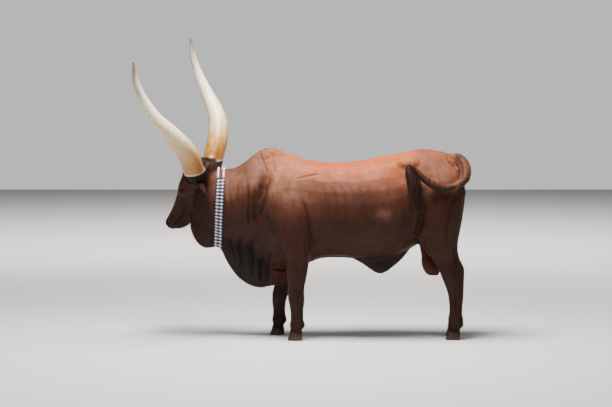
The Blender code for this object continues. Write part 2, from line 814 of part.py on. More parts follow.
def ear(name, side, trim):
    """A cupped leaf that points sideways, a little back and down, open forward and down."""
    root = head_point(EAR_ROOT[0], EAR_ROOT[1], side * EAR_ROOT[2])
    out = (LEFT * side * 0.90 - FORE * 0.20 - UP * 0.36).normalized()
    back = (-FORE * 0.80 + UP * 0.50).normalized()
    back = (back - out * back.dot(out)).normalized()
    wide = out.cross(back)
    stations = (
        (0.00, 0.42, 0.75, 0.0050),
        (0.12, 0.50, 0.70, 0.0048),
        (0.28, 0.80, 0.56, 0.0042),
        (0.45, 0.98, 0.46, 0.0038),
        (0.62, 0.96, 0.38, 0.0034),
        (0.78, 0.74, 0.30, 0.0030),
        (0.91, 0.42, 0.20, 0.0026),
        (1.00, 0.10, 0.06, 0.0020),
    )
    steps = 7
    rings = []
    for t, width, cup, thick in stations:
        centre = root + out * (EAR_LENGTH * t) - back * (0.020 * t * t) + back * 0.012
        half = EAR_WIDTH * width
        row = []
        for sense in (1, -1):
            for step in range(steps + 1):
                u = (2 * step / steps - 1) * sense
                if sense < 0 and abs(u) == 1:
                    continue
                sweep_in = (1 - u * u) * cup * half
                wall = thick * sense * math.sqrt(max(0.0, 1 - u * u)) + 0
                place = centre + wide * (half * u) + back * (sweep_in - cup * half + wall)
                row.append(place)
        rings.append(row)
    piece = loft(name, rings)
    combine(piece, trim, "DIFFERENCE")
    return piece


# ---------------------------------------------------------------- tail
TAIL_ROOT_X = 1.060
TAIL_PATH = (
    (TAIL_ROOT_X - 0.045, 0.000, 1.306, 0.028),
    (TAIL_ROOT_X, 0.000, 1.322, 0.033),
    (1.096, 0.000, 1.326, 0.035),
    (1.136, -0.003, 1.305, 0.036),
    (1.161, -0.016, 1.269, 0.036),
    (1.165, -0.050, 1.222, 0.035),
    (1.146, -0.110, 1.172, 0.033),
    (1.094, -0.178, 1.130, 0.029),
    (1.026, -0.225, 1.107, 0.024),
    (0.962, -0.250, 1.112, 0.022),
    (0.888, -0.272, 1.145, 0.020),
    (0.830, -0.285, 1.189, 0.016),
    (0.787, -0.292, 1.232, 0.014),
    (0.752, -0.292, 1.272, 0.013),
)


def clear_of(place, radius, skin, away):
    """The place moved along `away` until a ball of that radius clears the skin."""
    for _ in range(60):
        found = skin.find_nearest(place)
        inside = (place - found[0]).dot(found[1]) < 0
        if not inside and found[3] > radius:
            break
        place = place + away * 0.003
    return place


def tail_line(skin):
    """Centres and radii of the tail, clear of the rump and thigh behind its root."""
    rows = spline_rows(TAIL_PATH, 2)
    places = [Vector(row[:3]) for row in rows]
    radii = [row[3] for row in rows]
    for _ in range(4):
        for index in range(9, len(places)):
            places[index] = clear_of(places[index], radii[index] + 0.002, skin, LEFT)
        levels = [place.y for place in places]
        for index in range(6, len(places) - 1):
            middle = (levels[index - 1] + levels[index + 1]) / 2
            places[index].y = min(levels[index], middle) * 0.7 + levels[index] * 0.3
    return places, radii


def tail_pieces(skin, trim):
    """The tail in three lengths, parted by thin cuts square to it."""
    centres, radii = tail_line(skin)
    rings = sweep_rings(centres, radii, 1.0, 10)
    marks = (0, 11, 19, len(centres) - 1)
    names = ("tail_upper", "tail_middle", "tail_lower")
    pieces = []
    for name, first, last in zip(names, marks, marks[1:]):
        rows = rings[first : last + 1]
        if first:
            step = tangent_at(centres, first) * GAP
            rows[0] = [point + step for point in rows[0]]
        pieces.append(loft(name, rows))
    combine(pieces[0], trim, "DIFFERENCE")
    return pieces, centres[-1], tangent_at(centres, len(centres) - 1), radii[-1]


def lock(name, line, width, thick, facing):
    """A flat hair lock along a line, tapered to a point."""
    rings = []
    count = len(line)
    for index, centre in enumerate(line):
        before = line[max(index - 1, 0)]
        after = line[min(index + 1, count - 1)]
        tangent = (after - before).normalized()
        across = tangent.cross(facing).normalized()
        other = across.cross(tangent)
        t = index / (count - 1)
        share = (0.55 + 1.6 * t) if t < 0.28 else max(0.06, 1.0 - ((t - 0.28) / 0.72) ** 1.8)
        rings.append(ring(centre, across, other, width * share, thick * share, None, 2.0, 4))
    return loft(name, rings)


SWITCH_PATH = (  # share of the length, x, z, spread of the locks to each side
    (0.00, 0.742, 1.284, 0.001),
    (0.06, 0.729, 1.270, 0.003),
    (0.13, 0.729, 1.246, 0.006),
    (0.22, 0.742, 1.217, 0.015),
    (0.36, 0.770, 1.167, 0.030),
    (0.50, 0.786, 1.117, 0.036),
    (0.72, 0.798, 1.030, 0.037),
    (1.00, 0.798, 0.895, 0.030),
)


def is_sound(mesh):
    """Whether the closed mesh stays a plain two-sided surface when equal places are merged."""
    keys = [tuple(round(value, 6) for value in vertex.co) for vertex in mesh.vertices]
    uses = {}
    for face in mesh.polygons:
        places = [keys[index] for index in face.vertices]
        if len(set(places)) < len(places):
            return False
        for index, place in enumerate(places):
            edge = (place, places[(index + 1) % len(places)])
            uses[edge] = uses.get(edge, 0) + 1
    return all(count == 1 and uses.get(edge[::-1], 0) == 1 for edge, count in uses.items())


def switch_lock(rng, index, level, skin):
    """One lock of the switch, from inside the knob down the flank."""
    spread = 2 * index / (LOCKS - 1) - 1 + rng.uniform(-0.08, 0.08)
    reach = 1.0 - 0.16 * abs(spread) ** 1.5 + rng.uniform(-0.07, 0.05)
    layer = (index * 3) % 5
    top = SWITCH_PATH[0][2]
    line = []
    for share, x, z, fan in SWITCH_PATH:
        sway = 0.004 * math.sin(7 * share + index * 1.7) * share
        drop = (top - z) * (reach if share > 0.25 else 1.0)
        out = 0.005 * math.sin(math.pi * min(1.0, share * 3)) + 0.0022 * (layer - 2)
        place = Vector((x + fan * spread + sway, level - out, top - drop))
        nearness = 0.0045 + 0.003 * layer * min(1.0, share * 3)
        line.append(clear_of(place, nearness, skin, LEFT))
    facing = (LEFT + FORE * rng.uniform(-0.30, 0.30)).normalized()
    return lock("lock", line, 0.0135, 0.0052, facing)


def join_locks(knob, locks):
    """The knob and its locks as one closed surface."""
    tuft = bpy.data.collections.new("tuft")
    bpy.context.scene.collection.children.link(tuft)
    for piece in locks:
        bpy.context.scene.collection.objects.unlink(piece)
        tuft.objects.link(piece)
    join = knob.modifiers.new("join", "BOOLEAN")
    join.operation = "UNION"
    join.operand_type = "COLLECTION"
    join.collection = tuft
    join.solver = "MANIFOLD"
    keep_largest(bake(knob))
    discard(*locks)
    bpy.data.collections.remove(tuft)
    return knob


def tail_switch(end, heading, radius, skin):
    """The dark switch: flat locks that spring from a knob on the tail's end and hang down."""
    rng = random.Random(SEED)
    for _ in range(24):
        steps = (GAP, 0.006, 0.013, 0.020, 0.025)
        widths = (radius, radius * 1.22, radius * 1.28, radius * 0.95, radius * 0.35)
        knob = sweep("tail_switch", [end + heading * step for step in steps], widths, 1.0, 10)
        locks = [switch_lock(rng, index, end.y, skin) for index in range(LOCKS)]
        join_locks(knob, locks)
        if is_closed(knob.data) and is_sound(knob.data):
            return knob
        discard(knob)
    raise RuntimeError("the switch did not join")


# ---------------------------------------------------------------- neck ornament
BAND_TOP = 1.168
BAND_WIDTH = 0.065
BEAD = 0.0060  # thickness of the bead band
BAND_CLEAR = 0.0022  # how far the band and cords stand off the hide
CORD_RADIUS = 0.0060


def band_middle(z):
    """The level x of the middle of the band at height z."""
    return -0.621 - 0.028 * (BAND_TOP - z) / 0.50


def side_hit(skin, x, z, side):
    """Where a level ray from the side meets the skin, beside any parting cut."""
    for shift in (0.0, 0.0012, -0.0012, 0.0024):
        place = skin.ray_cast(Vector((x, side * 0.6, z + shift)), Vector((0, -side, 0)))[0]
        if place is not None and place.y * side > neck_middle(x) * side:
            break
    return place


def band_rows(skin, side):
    """Rows of places on the skin under one half of the band, from its top end to the throat."""
    rows = []
    steps = 17
    for step in range(steps + 1):
        z = BAND_TOP - (BAND_TOP - 0.700) * step / steps
        middle = band_middle(z)
        row = []
        for share in (-0.5, 0.0, 0.5):
            row.append(side_hit(skin, middle + share * BAND_WIDTH, z, side))
        rows.append(row)
    for inward in (0.30, 0.66, 0.97):
        row = []
        for point in rows[steps]:
            y = neck_middle(point.x) + (point.y - neck_middle(point.x)) * (1 - inward)
            row.append(skin.ray_cast(Vector((point.x, y, 0.3)), UP)[0])
        rows.append(row)
    return rows


def band_half(name, side, skin):
    """One half of the band, from under the throat up the side of the neck."""
    rows = band_rows(skin, side)
    count = len(rows)
    sheets = ([], [])
    for index, row in enumerate(rows):
        along = rows[min(index + 1, count - 1)][1] - rows[max(index - 1, 0)][1]
        across = row[2] - row[0]
        normal = along.cross(across).normalized()
        if index >= count - 3:
            share = (0.7, 0.25, 0.0)[index - count + 3]
            normal = (LEFT * -side * share - UP).normalized()
        elif normal.y * side < 0:
            normal = -normal
        for sheet, distance in zip(sheets, (BEAD + 0.001, BAND_CLEAR)):
            sheet.append([point + normal * distance for point in row])
    work = bmesh.new()
    grids = [[[work.verts.new(point) for point in row] for row in sheet] for sheet in sheets]
    width = len(grids[0][0])
    for grid in grids:
        for first, second in zip(grid, grid[1:]):
            for index in range(width - 1):
                quad = (first[index], first[index + 1], second[index + 1], second[index])
                work.faces.new(quad)
    for row in (0, -1):
        for index in range(width - 1):
            pair = (grids[0][row][index], grids[0][row][index + 1])
            work.faces.new((*pair, grids[1][row][index + 1], grids[1][row][index]))
    for column in (0, -1):
        for first, second in zip(range(count), range(1, count)):
            pair = (grids[0][first][column], grids[0][second][column])
            work.faces.new((*pair, grids[1][second][column], grids[1][first][column]))
    return finish_bmesh(name, work)


def collar_cord(name, x, skin):
    """A bead cord over the crest of the neck, from one top end of the band to the other."""
    middle = Vector((x, neck_middle(x), 1.10))
    line = []
    for step in range(61):
        turn = math.radians(-75 + 150 * step / 60)
        direction = Vector((0, math.sin(turn), math.cos(turn)))
        hit = skin.ray_cast(middle + direction * 0.6, -direction)[0]
        if hit.z > BAND_TOP + 0.006:
            line.append(hit + direction * (CORD_RADIUS + BAND_CLEAR * 1.2))
    keep = [line[0], *line[3:-3:4], line[-1]]
    return sweep(name, keep, [CORD_RADIUS] * len(keep), 1.0, 8, FORE)


# ---------------------------------------------------------------- eyes, lids, nostrils and mouth
def eye_axes(side):
    """Outward axis, slit axis and height axis of the eye."""
    out = (HEAD_LEFT * side * 0.93 + OUT * 0.34 + ALONG * 0.05).normalized()
    slit = (ALONG * 0.92 + OUT * 0.32)
    slit = (slit - out * slit.dot(out)).normalized()
    return out, slit, out.cross(slit)


def eye_centre(side):
    return head_point(EYE_PLACE[0], EYE_PLACE[1], side * EYE_PLACE[2]) - eye_axes(side)[0] * EYE_RADIUS


def almond(side):
    """The lens-shaped opening between the lids, as a cutter that points out of the head."""
    out, slit, tall = eye_axes(side)
    centre = eye_centre(side)
    points = []
    for sense in (1, -1):
        for step in range(8):
            u = (-1 + 2 * step / 8) * sense
            height = sense * EYE_HALF_HEIGHT * (1 - u * u) ** 0.8
            points.append((u * EYE_HALF_WIDTH, height))
    rings = []
    for depth, scale in ((-0.002, 0.80), (0.016, 0.95), (0.032, 1.25), (0.050, 1.6)):
        rings.append([centre + out * depth + slit * u * scale + tall * v * scale for u, v in points])
    return loft("almond", rings)


NOSTRIL_PARTS = (  # along, out, length, height, depth
    (0.524, 0.058, 0.0150, 0.0105, 0.0125),
    (0.516, 0.068, 0.0150, 0.0070, 0.0105),
)


def nostril(side, head):
    """The comma-shaped hollow at the side of the muzzle, as two sunken ovals."""
    skin = skin_of([head])
    ovals = []
    for along, out, length, height, depth in NOSTRIL_PARTS:
        start = head_point(along, out, side * 0.20)
        spot, normal, _, _ = skin.ray_cast(start, HEAD_LEFT * -side)
        course = (OUT * 0.75 - ALONG * 0.66).normalized()
        course = (course - normal * course.dot(normal)).normalized()
        axes = (course, normal.cross(course), normal)
        ovals.append(ellipsoid("nostril", spot - normal * 0.002, axes, (length, height, depth), 12, 8))
    return ovals


def mouth_cut():
    """A thin wedge between the upper and the lower lip, from corner to corner."""
    rows = (
        (0.408, -0.014, 1.0),
        (0.438, -0.007, 1.0),
        (0.470, 0.000, 1.0),
        (0.501, 0.008, 1.0),
        (0.528, 0.016, 1.0),
        (0.570, 0.030, 1.0),
    )
    depth = 0.14
    rings = []
    for along, out, share in spline_rows(rows, 2):
        thick = 0.0012 * share
        row = []
        for out_shift, left in ((thick, -depth), (thick, depth), (-thick, depth), (-thick, -depth)):
            row.append(head_point(along, out + out_shift, left))
        rings.append(row)
    wedge = loft("mouth", rings)
    core = loft("core", mouth_core_rings())
    combine(wedge, core, "DIFFERENCE")
    discard(core)
    return wedge


def mouth_core_rings():
    """The inner part of the mouth, which the lip groove leaves closed."""
    rows = ((0.37, 0.050), (0.418, 0.052), (0.459, 0.052), (0.496, 0.048), (0.522, 0.036), (0.532, 0.014))
    rings = []
    for along, half in spline_rows(rows, 2):
        rings.append(ring(head_point(along, 0.005, 0), HEAD_LEFT, OUT, half, 0.06, 0.06, 2.0, 16))
    return rings


def face_details(head):
    """Eye sockets, lids, nostrils and the mouth line."""
    for side in (1, -1):
        out, slit, tall = eye_axes(side)
        radius = EYE_RADIUS + 0.0012
        socket = ellipsoid("socket", eye_centre(side), (out, slit, tall), (radius,) * 3, 16, 10)
        opening = almond(side)
        combine(socket, opening, "UNION")
        hollows = nostril(side, head)
        combine(head, socket, "DIFFERENCE")
        for hollow in hollows:
            combine(head, hollow, "DIFFERENCE")
        discard(socket, opening, *hollows)
    mouth = mouth_cut()
    combine(head, mouth, "DIFFERENCE")
    discard(mouth)


def eyeball(name, side):
    out, slit, tall = eye_axes(side)
    return ellipsoid(name, eye_centre(side), (out, slit, tall), (EYE_RADIUS,) * 3, 14, 10)


# ---------------------------------------------------------------- finishes
FINISHES = {
    "hide": ((0.110, 0.038, 0.016, 1), 0.62),
    "hide_dark": ((0.028, 0.015, 0.010, 1), 0.66),
    "horn": ((0.720, 0.560, 0.340, 1), 0.42),
    "hoof": ((0.120, 0.090, 0.070, 1), 0.50),
    "eye": ((0.012, 0.007, 0.004, 1), 0.08),
    "hair": ((0.022, 0.012, 0.010, 1), 0.70),
    "beads": ((0.420, 0.430, 0.520, 1), 0.35),
}


def paint(thing, finish):
    """Gives the object its own material."""
    colour, roughness = FINISHES[finish]
    material = bpy.data.materials.new(thing.name + "_" + finish)
    material.use_nodes = True
    shader = material.node_tree.nodes["Principled BSDF"]
    shader.inputs["Base Color"].default_value = colour
    shader.inputs["Roughness"].default_value = roughness
    shader.inputs["Metallic"].default_value = 0.0
    thing.data.materials.clear()
    thing.data.materials.append(material)


def settle_all():
    """Moves everything so that the middle of the bounding box's underside is the origin."""
    things = [thing for thing in bpy.data.objects if thing.type == "MESH"]
    places = np.array([vert.co[:] for thing in things for vert in thing.data.vertices])
    low = places.min(axis=0)
    high = places.max(axis=0)
    shift = Matrix.Translation((-(low[0] + high[0]) / 2, -(low[1] + high[1]) / 2, -low[2]))
    for thing in things:
        thing.data.transform(shift)
        thing.data.shade_smooth()
        thing.data.set_sharp_from_angle(angle=math.radians(42))
    print("moved by", shift.translation)


def touches(thing, other):
    """Whether the surfaces of two objects cross."""
    graph = bpy.context.evaluated_depsgraph_get()
    first = BVHTree.FromObject(thing, graph)
    return bool(first.overlap(BVHTree.FromObject(other, graph)))


def skin_of(things):
    """One search tree over the outer surfaces of several objects."""
    places = []
    faces = []
    for thing in things:
        first = len(places)
        places += [vert.co.copy() for vert in thing.data.vertices]
        faces += [tuple(first + index for index in face.vertices) for face in thing.data.polygons]
    return BVHTree.FromPolygons(places, faces)


# ---------------------------------------------------------------- the whole bull
def build():
    """Builds every node of the bull."""
    clear_scene()
    flesh = fused_flesh()
    carved = {
        "head": (HEAD, (DEWLAP,), 2200),
        "neck": (NECK, (DEWLAP,), 820),
        "dewlap": (DEWLAP, (), 940),
        "torso": (TORSO, (DEWLAP, SHEATH, SCROTUM, *LEGS.values()), 2080),
        "sheath": (SHEATH, (), 170),
        "scrotum": (SCROTUM, (), 200),
    }
    budgets = {"foreleg": 440, "hindleg": 500}
    for name, region in LEGS.items():
        carved[name] = (region, (), budgets[name.split("_")[0]])
    nodes = {}
    for name, (include, exclude, budget) in carved.items():
        nodes[name] = carve(flesh, name, include, exclude, budget)
    discard(flesh)

    for name, (x, y, length, breadth) in FEET.items():
        block = below_coronet(x, GAP / 2)
        combine(nodes[name], block, "DIFFERENCE")
        discard(block)
        trim = grown(nodes[name], GAP * 2)
        for side, label in ((1, "a"), (-1, "b")):
            claw_name = name.replace("leg", "claw") + "_" + label
            nodes[claw_name] = claw(claw_name, x, y, side, length, breadth)
            place = Vector((x + 0.048, y + side * 0.021, 0.118))
            spur = claw_name.replace("claw", "dewclaw")
            nodes[spur] = dewclaw(spur, place, side, trim)
        discard(trim)

    skin = skin_of([nodes[name] for name in carved])
    head_trim = grown(nodes["head"], GAP * 2)
    torso_trim = grown(nodes["torso"], GAP * 2)
    face_details(nodes["head"])
    for label, side in (("left", 1), ("right", -1)):
        nodes["eye_" + label] = eyeball("eye_" + label, side)
        nodes["horn_" + label] = horn("horn_" + label, side, head_trim)
        nodes["ear_" + label] = ear("ear_" + label, side, head_trim)
        name = "collar_band_" + label
        nodes[name] = band_half(name, -side, skin)
    nodes["collar_cord_front"] = collar_cord("collar_cord_front", -0.641, skin)
    nodes["collar_cord_rear"] = collar_cord("collar_cord_rear", -0.601, skin)
    for under in ("neck", "dewlap", "head"):
        trim = grown(nodes[under], GAP * 3)
        for name in ("collar_band_left", "collar_band_right", "horn_left", "horn_right"):
            if touches(nodes[name], trim):
                combine(nodes[name], trim, "DIFFERENCE")
        discard(trim)
    pieces, end, heading, radius = tail_pieces(skin, torso_trim)
    for piece in pieces:
        nodes[piece.name] = piece
    nodes["tail_switch"] = tail_switch(end, heading, radius, skin)
    neighbours = (
        ("tail_switch", "tail_lower", 2),
        ("ear_left", "horn_left", 6),
        ("ear_right", "horn_right", 6),
    )
    for name, under, gaps in neighbours:
        trim = grown(nodes[under], GAP * gaps)
        if touches(nodes[name], trim):
            combine(nodes[name], trim, "DIFFERENCE")
        discard(trim)
    discard(torso_trim, head_trim)

    finishes = {
        "horn": "horn",
        "eye": "eye",
        "collar": "beads",
        "foreclaw": "hoof",
        "hindclaw": "hoof",
        "foredewclaw": "hoof",
        "hinddewclaw": "hoof",
        "dewlap": "hide_dark",
    }
    for name, node in nodes.items():
        finish = finishes.get(name.split("_")[0], "hide")
        paint(node, "hair" if name == "tail_switch" else finish)
    settle_all()


build()
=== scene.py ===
"""Ankole Watusi bull: hide, coat, horns, eyes, claws, tail hair and beaded collar over its frame."""
import logging
import math
from dataclasses import dataclass
from enum import Enum

import bmesh
import bpy
import numpy as np
from bmesh.types import BMesh
from bpy.types import ID, Material, Mesh, Node, NodeSocket, Object
from mathutils import Matrix, Vector
from mathutils.bvhtree import BVHTree
from numpy.random import Generator


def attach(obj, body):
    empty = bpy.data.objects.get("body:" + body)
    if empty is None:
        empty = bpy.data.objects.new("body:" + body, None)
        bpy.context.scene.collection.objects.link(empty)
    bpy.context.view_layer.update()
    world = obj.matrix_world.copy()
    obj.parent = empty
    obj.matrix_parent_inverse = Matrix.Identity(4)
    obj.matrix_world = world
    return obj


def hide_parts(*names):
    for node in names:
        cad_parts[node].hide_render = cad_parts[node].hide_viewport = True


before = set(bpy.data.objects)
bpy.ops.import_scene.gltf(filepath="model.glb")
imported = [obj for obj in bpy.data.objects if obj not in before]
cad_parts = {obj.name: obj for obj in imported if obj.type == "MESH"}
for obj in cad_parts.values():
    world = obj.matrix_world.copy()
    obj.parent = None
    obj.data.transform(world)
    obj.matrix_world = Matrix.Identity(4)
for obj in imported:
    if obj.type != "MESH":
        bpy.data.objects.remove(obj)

Array = np.ndarray
LOG = logging.getLogger("bull")
SHIFT = Vector((0.0089, 0.0283, 0.0))  # from the modelling origin to the frame's origin
UP = Vector((0, 0, 1))
SEED = 7
MIDDLE_Y = 0.028  # the plane between the bull's left and right
# The hide's marks. deep, pale and the orange mark hold the coat's own colour and also painted light and
# shade: painted shade low on the body, painted sunlight and painted sheen on its upper parts. crease is
# painted shade in creases and openings.
MARKS = ("deep", "tan", "pale", "rufous", "slate", "bare", "crease", "dusty", "wrinkled")
FLESH = (
    "head", "neck", "dewlap", "torso", "sheath", "scrotum",
    "foreleg_left", "foreleg_right", "hindleg_left", "hindleg_right",
    "tail_upper", "tail_middle", "tail_lower",
)


class Side(Enum):
    """A side of the bull, as the sign of its own left."""

    LEFT = 1
    RIGHT = -1

    @property
    def word(self) -> str:
        """How the names of pieces and nodes say it."""
        return self.name.lower()


class Slot(Enum):
    """The material slots of the record."""

    HIDE = "hide"
    HORN = "horn"
    HOOF = "hoof"
    EYE = "eye"
    SWITCH = "switch_hair"
    BAND = "bead_band"
    CORD = "bead_cord"


# -------- numbers
def tint(red: float, green: float, blue: float) -> tuple:
    """A linear colour with alpha.

    Args:
        red: display red from 0 to 255.
        green: display green from 0 to 255.
        blue: display blue from 0 to 255.

    Returns:
        Four linear numbers.
    """
    linear = []
    for value in (red, green, blue):
        share = value / 255
        linear.append(share / 12.92 if share <= 0.04045 else ((share + 0.055) / 1.055) ** 2.4)
    return (*linear, 1.0)


def ease(values: Array, start: float, end: float) -> Array:
    """A smooth step from 0 at start to 1 at end."""
    share = np.clip((values - start) / (end - start), 0.0, 1.0)
    return share * share * (3 - 2 * share)


def mound(values: Array, middle: float, width: float, power: int = 2) -> Array:
    """A smooth rise to 1 at the middle, that has all but gone at twice the width."""
    return np.exp(-(((values - middle) / width) ** power))


def arrays(axes: tuple) -> tuple:
    """Directions as arrays."""
    return tuple(np.array(axis[:]) for axis in axes)


def soften(rows: Array, rounds: int) -> None:
    """Draws each inner row towards the rows beside it."""
    for _ in range(rounds):
        rows[1:-1] = rows[1:-1] * 0.5 + (rows[:-2] + rows[2:]) * 0.25


def travelled(line: Array) -> Array:
    """How far along a line each of its places lies."""
    return np.concatenate([[0.0], np.cumsum(np.linalg.norm(line[1:] - line[:-1], axis=1))])


def resample(line: Array, wanted: Array) -> Array:
    """The places on a line that lie that far along it."""
    return np.stack([np.interp(wanted, travelled(line), line[:, axis]) for axis in range(3)], 1)


def curve_rows(rows: tuple, steps: int) -> Array:
    """Rows of numbers joined by a smooth curve.

    Args:
        rows: the rows that the curve passes through.
        steps: how many rows stand for each span.

    Returns:
        An array of rows.
    """
    known = np.array(rows, float)
    ends = np.vstack([2 * known[0] - known[1], known, 2 * known[-1] - known[-2]])
    found = []
    for index in range(len(known) - 1):
        p0, p1, p2, p3 = ends[index : index + 4]
        for step in range(steps):
            t = step / steps
            bend = 2 * p0 - 5 * p1 + 4 * p2 - p3
            twist = 3 * p1 - p0 - 3 * p2 + p3
            found.append(0.5 * (2 * p1 + (p2 - p0) * t + bend * t * t + twist * t**3))
    found.append(known[-1])
    return np.array(found)


def unit(rows: Array) -> Array:
    """The rows scaled to length one."""
    return rows / np.maximum(np.linalg.norm(rows, axis=-1, keepdims=True), 1e-9)


# -------- meshes
def mesh_object(name: str, points: Array, faces: Array) -> Object:
    """A smooth shaded mesh object.

    Args:
        name: the piece's name.
        points: places, one row each.
        faces: corner numbers, one row for each face of a like number of corners.

    Returns:
        The object, linked to the scene.
    """
    mesh = bpy.data.meshes.new(name)
    faces = np.asarray(faces, np.int32)
    mesh.vertices.add(len(points))
    mesh.vertices.foreach_set("co", np.asarray(points, np.float32).ravel())
    mesh.loops.add(faces.size)
    mesh.loops.foreach_set("vertex_index", faces.ravel())
    mesh.polygons.add(len(faces))
    mesh.polygons.foreach_set("loop_start", np.arange(0, faces.size, faces.shape[1], dtype=np.int32))
    mesh.update(calc_edges=True)
    mesh.validate()
    mesh.shade_smooth()
    return link(name, mesh)


def link(name: str, data: ID) -> Object:
    """A scene object for a mesh, light or camera.

    Args:
        name: its name.
        data: what it shows.

    Returns:
        The object.
    """
    thing = bpy.data.objects.new(name, data)
    bpy.context.scene.collection.objects.link(thing)
    return thing


def store(mesh: Mesh, name: str, values: Array) -> None:
    """Keeps one number, or one vector, for each vertex under that name.

    Args:
        mesh: the mesh.
        name: the mark's name.
        values: one number or vector a vertex.
    """
    kind = "FLOAT" if values.ndim == 1 else "FLOAT_VECTOR"
    layer = mesh.attributes.new(name, kind, "POINT")
    layer.data.foreach_set("value" if values.ndim == 1 else "vector", values.astype(np.float32).ravel())


def store_marks(mesh: Mesh, **strengths) -> None:
    """Keeps every marking of the coat on a mesh, at nought where it isn't given."""
    for name in MARKS:
        store(mesh, name, strengths.get(name, 0.0) + np.zeros(len(mesh.vertices)))


def tube_grid(rings: int, count: int, first: int = 0) -> Array:
    """Corner numbers of the quads between rings of a tube, as rows of four.

    Args:
        rings: how many rings.
        count: points round each.
        first: the number of the first point.

    Returns:
        The quads.
    """
    ring_index = np.arange(rings - 1)[:, None]
    turn = np.arange(count)[None, :]
    after = (turn + 1) % count
    start = first + ring_index * count
    quads = np.stack([start + turn, start + after, start + count + after, start + count + turn], -1)
    return quads.reshape(-1, 4)


def sweep(centres: Array, radii: Array, count: int, flat: float = 1.0, across: tuple = (0, 0, 1)) -> tuple:
    """A tube along centres, closed at both ends by small last rings.

    Args:
        centres: one place a ring.
        radii: one radius a ring, or rows of `count` radii.
        count: points round the tube.
        flat: the second radius over the first.
        across: the direction in which the first point of a ring lies.

    Returns:
        Places and quads, as two arrays.
    """
    rows = []
    side = np.array(across, float)
    turn = np.arange(count) * 2 * math.pi / count
    for index, centre in enumerate(centres):
        ahead = centres[min(index + 1, len(centres) - 1)] - centres[max(index - 1, 0)]
        ahead = ahead / np.linalg.norm(ahead)
        side = side - ahead * side.dot(ahead)
        side = side / np.linalg.norm(side)
        other = np.cross(ahead, side)
        radius = radii[index]
        first = (np.cos(turn) * radius)[:, None] * side
        rows.append(centre + first + (np.sin(turn) * radius * flat)[:, None] * other)
    return np.concatenate(rows), tube_grid(len(centres), count)


def join_parts(parts: list) -> tuple:
    """Several (places, faces) pairs as one pair.

    Args:
        parts: the pairs.

    Returns:
        The one pair.
    """
    points = []
    faces = []
    first = 0
    for place, face in parts:
        points.append(place)
        faces.append(face + first)
        first += len(place)
    return np.concatenate(points), np.concatenate(faces)


def by_line(path: Array, spots: Array) -> tuple:
    """Where flat places lie by a line of straight parts.

    Args:
        path: the line's corners.
        spots: the places.

    Returns:
        Distances, with a sign for the side, and how far along the line, from 0 to 1.
    """
    best = np.full(len(spots), np.inf)
    sense = np.zeros(len(spots))
    share = np.zeros(len(spots))
    lengths = np.linalg.norm(path[1:] - path[:-1], axis=1)
    done = 0.0
    for start, end, length in zip(path, path[1:], lengths):
        ahead = (end - start) / length
        rel = spots - start
        t = np.clip(rel @ ahead, 0, length)
        distance = np.linalg.norm(rel - t[:, None] * ahead, axis=1)
        closer = distance < best
        cross = ahead[0] * rel[:, 1] - ahead[1] * rel[:, 0]
        best = np.where(closer, distance, best)
        sense = np.where(closer, np.where(cross < 0, -distance, distance), sense)
        share = np.where(closer, (done + t) / lengths.sum(), share)
        done += length
    return sense, share


def read_mesh(mesh: Mesh) -> tuple:
    """Places and normals of a mesh's vertices.

    Args:
        mesh: the mesh.

    Returns:
        Two arrays of rows.
    """
    found = []
    for rows, kind in ((mesh.vertices, "co"), (mesh.vertex_normals, "vector")):
        values = np.empty(len(mesh.vertices) * 3, np.float32)
        rows.foreach_get(kind, values)
        found.append(values.reshape(-1, 3).astype(float))
    return tuple(found)


def write_mesh(mesh: Mesh, points: Array) -> None:
    """Moves a mesh's vertices."""
    mesh.vertices.foreach_set("co", points.astype(np.float32).ravel())
    mesh.update()


def fused(thing: Object, cell: float) -> Mesh:
    """The object's closed forms as one even mesh; the object itself is used up.

    Args:
        thing: the object.
        cell: the size of the new faces.

    Returns:
        The new mesh.
    """
    change = thing.modifiers.new("fuse", "REMESH")
    change.mode = "VOXEL"
    change.voxel_size = cell
    graph = bpy.context.evaluated_depsgraph_get()
    mesh = bpy.data.meshes.new_from_object(thing.evaluated_get(graph))
    bpy.data.objects.remove(thing)
    return mesh


def smooth(mesh: Mesh, rounds: int, factors: tuple, soft: object = 1.0) -> None:
    """Smooths the facets away without shrinking the form.

    Args:
        mesh: the mesh.
        rounds: how often.
        factors: the step in and the step out of each round.
        soft: the share of each step that a vertex takes.
    """
    points, _ = read_mesh(mesh)
    pairs = np.empty(len(mesh.edges) * 2, np.int32)
    mesh.edges.foreach_get("vertices", pairs)
    pairs = pairs.reshape(-1, 2)
    first = np.concatenate([pairs[:, 0], pairs[:, 1]])
    second = np.concatenate([pairs[:, 1], pairs[:, 0]])
    degree = np.bincount(first, minlength=len(points)).astype(float)
    for factor in factors * rounds:
        total = [np.bincount(first, points[second, axis], len(points)) for axis in range(3)]
        step = np.reshape(factor * soft, (-1, 1))
        points = points + (np.stack(total, 1) / degree[:, None] - points) * step
    write_mesh(mesh, points)


def settle(thing: Object, finish: object, slot: Slot, *nodes: str) -> Object:
    """Dresses a finished piece and fixes it to the frame.

    Args:
        thing: the piece.
        finish: its finish, whose material is made the first time that it is used.
        slot: the record's slot of its finish; not used.
        nodes: the frame's nodes that it stands for.

    Returns:
        The piece.
    """
    thing.data.materials.append(bpy.data.materials.get(finish.name) or finish.material())
    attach(thing, "root")
    if nodes:
        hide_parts(*nodes)
    LOG.info("%s: %d faces", thing.name, len(thing.data.polygons))
    return thing


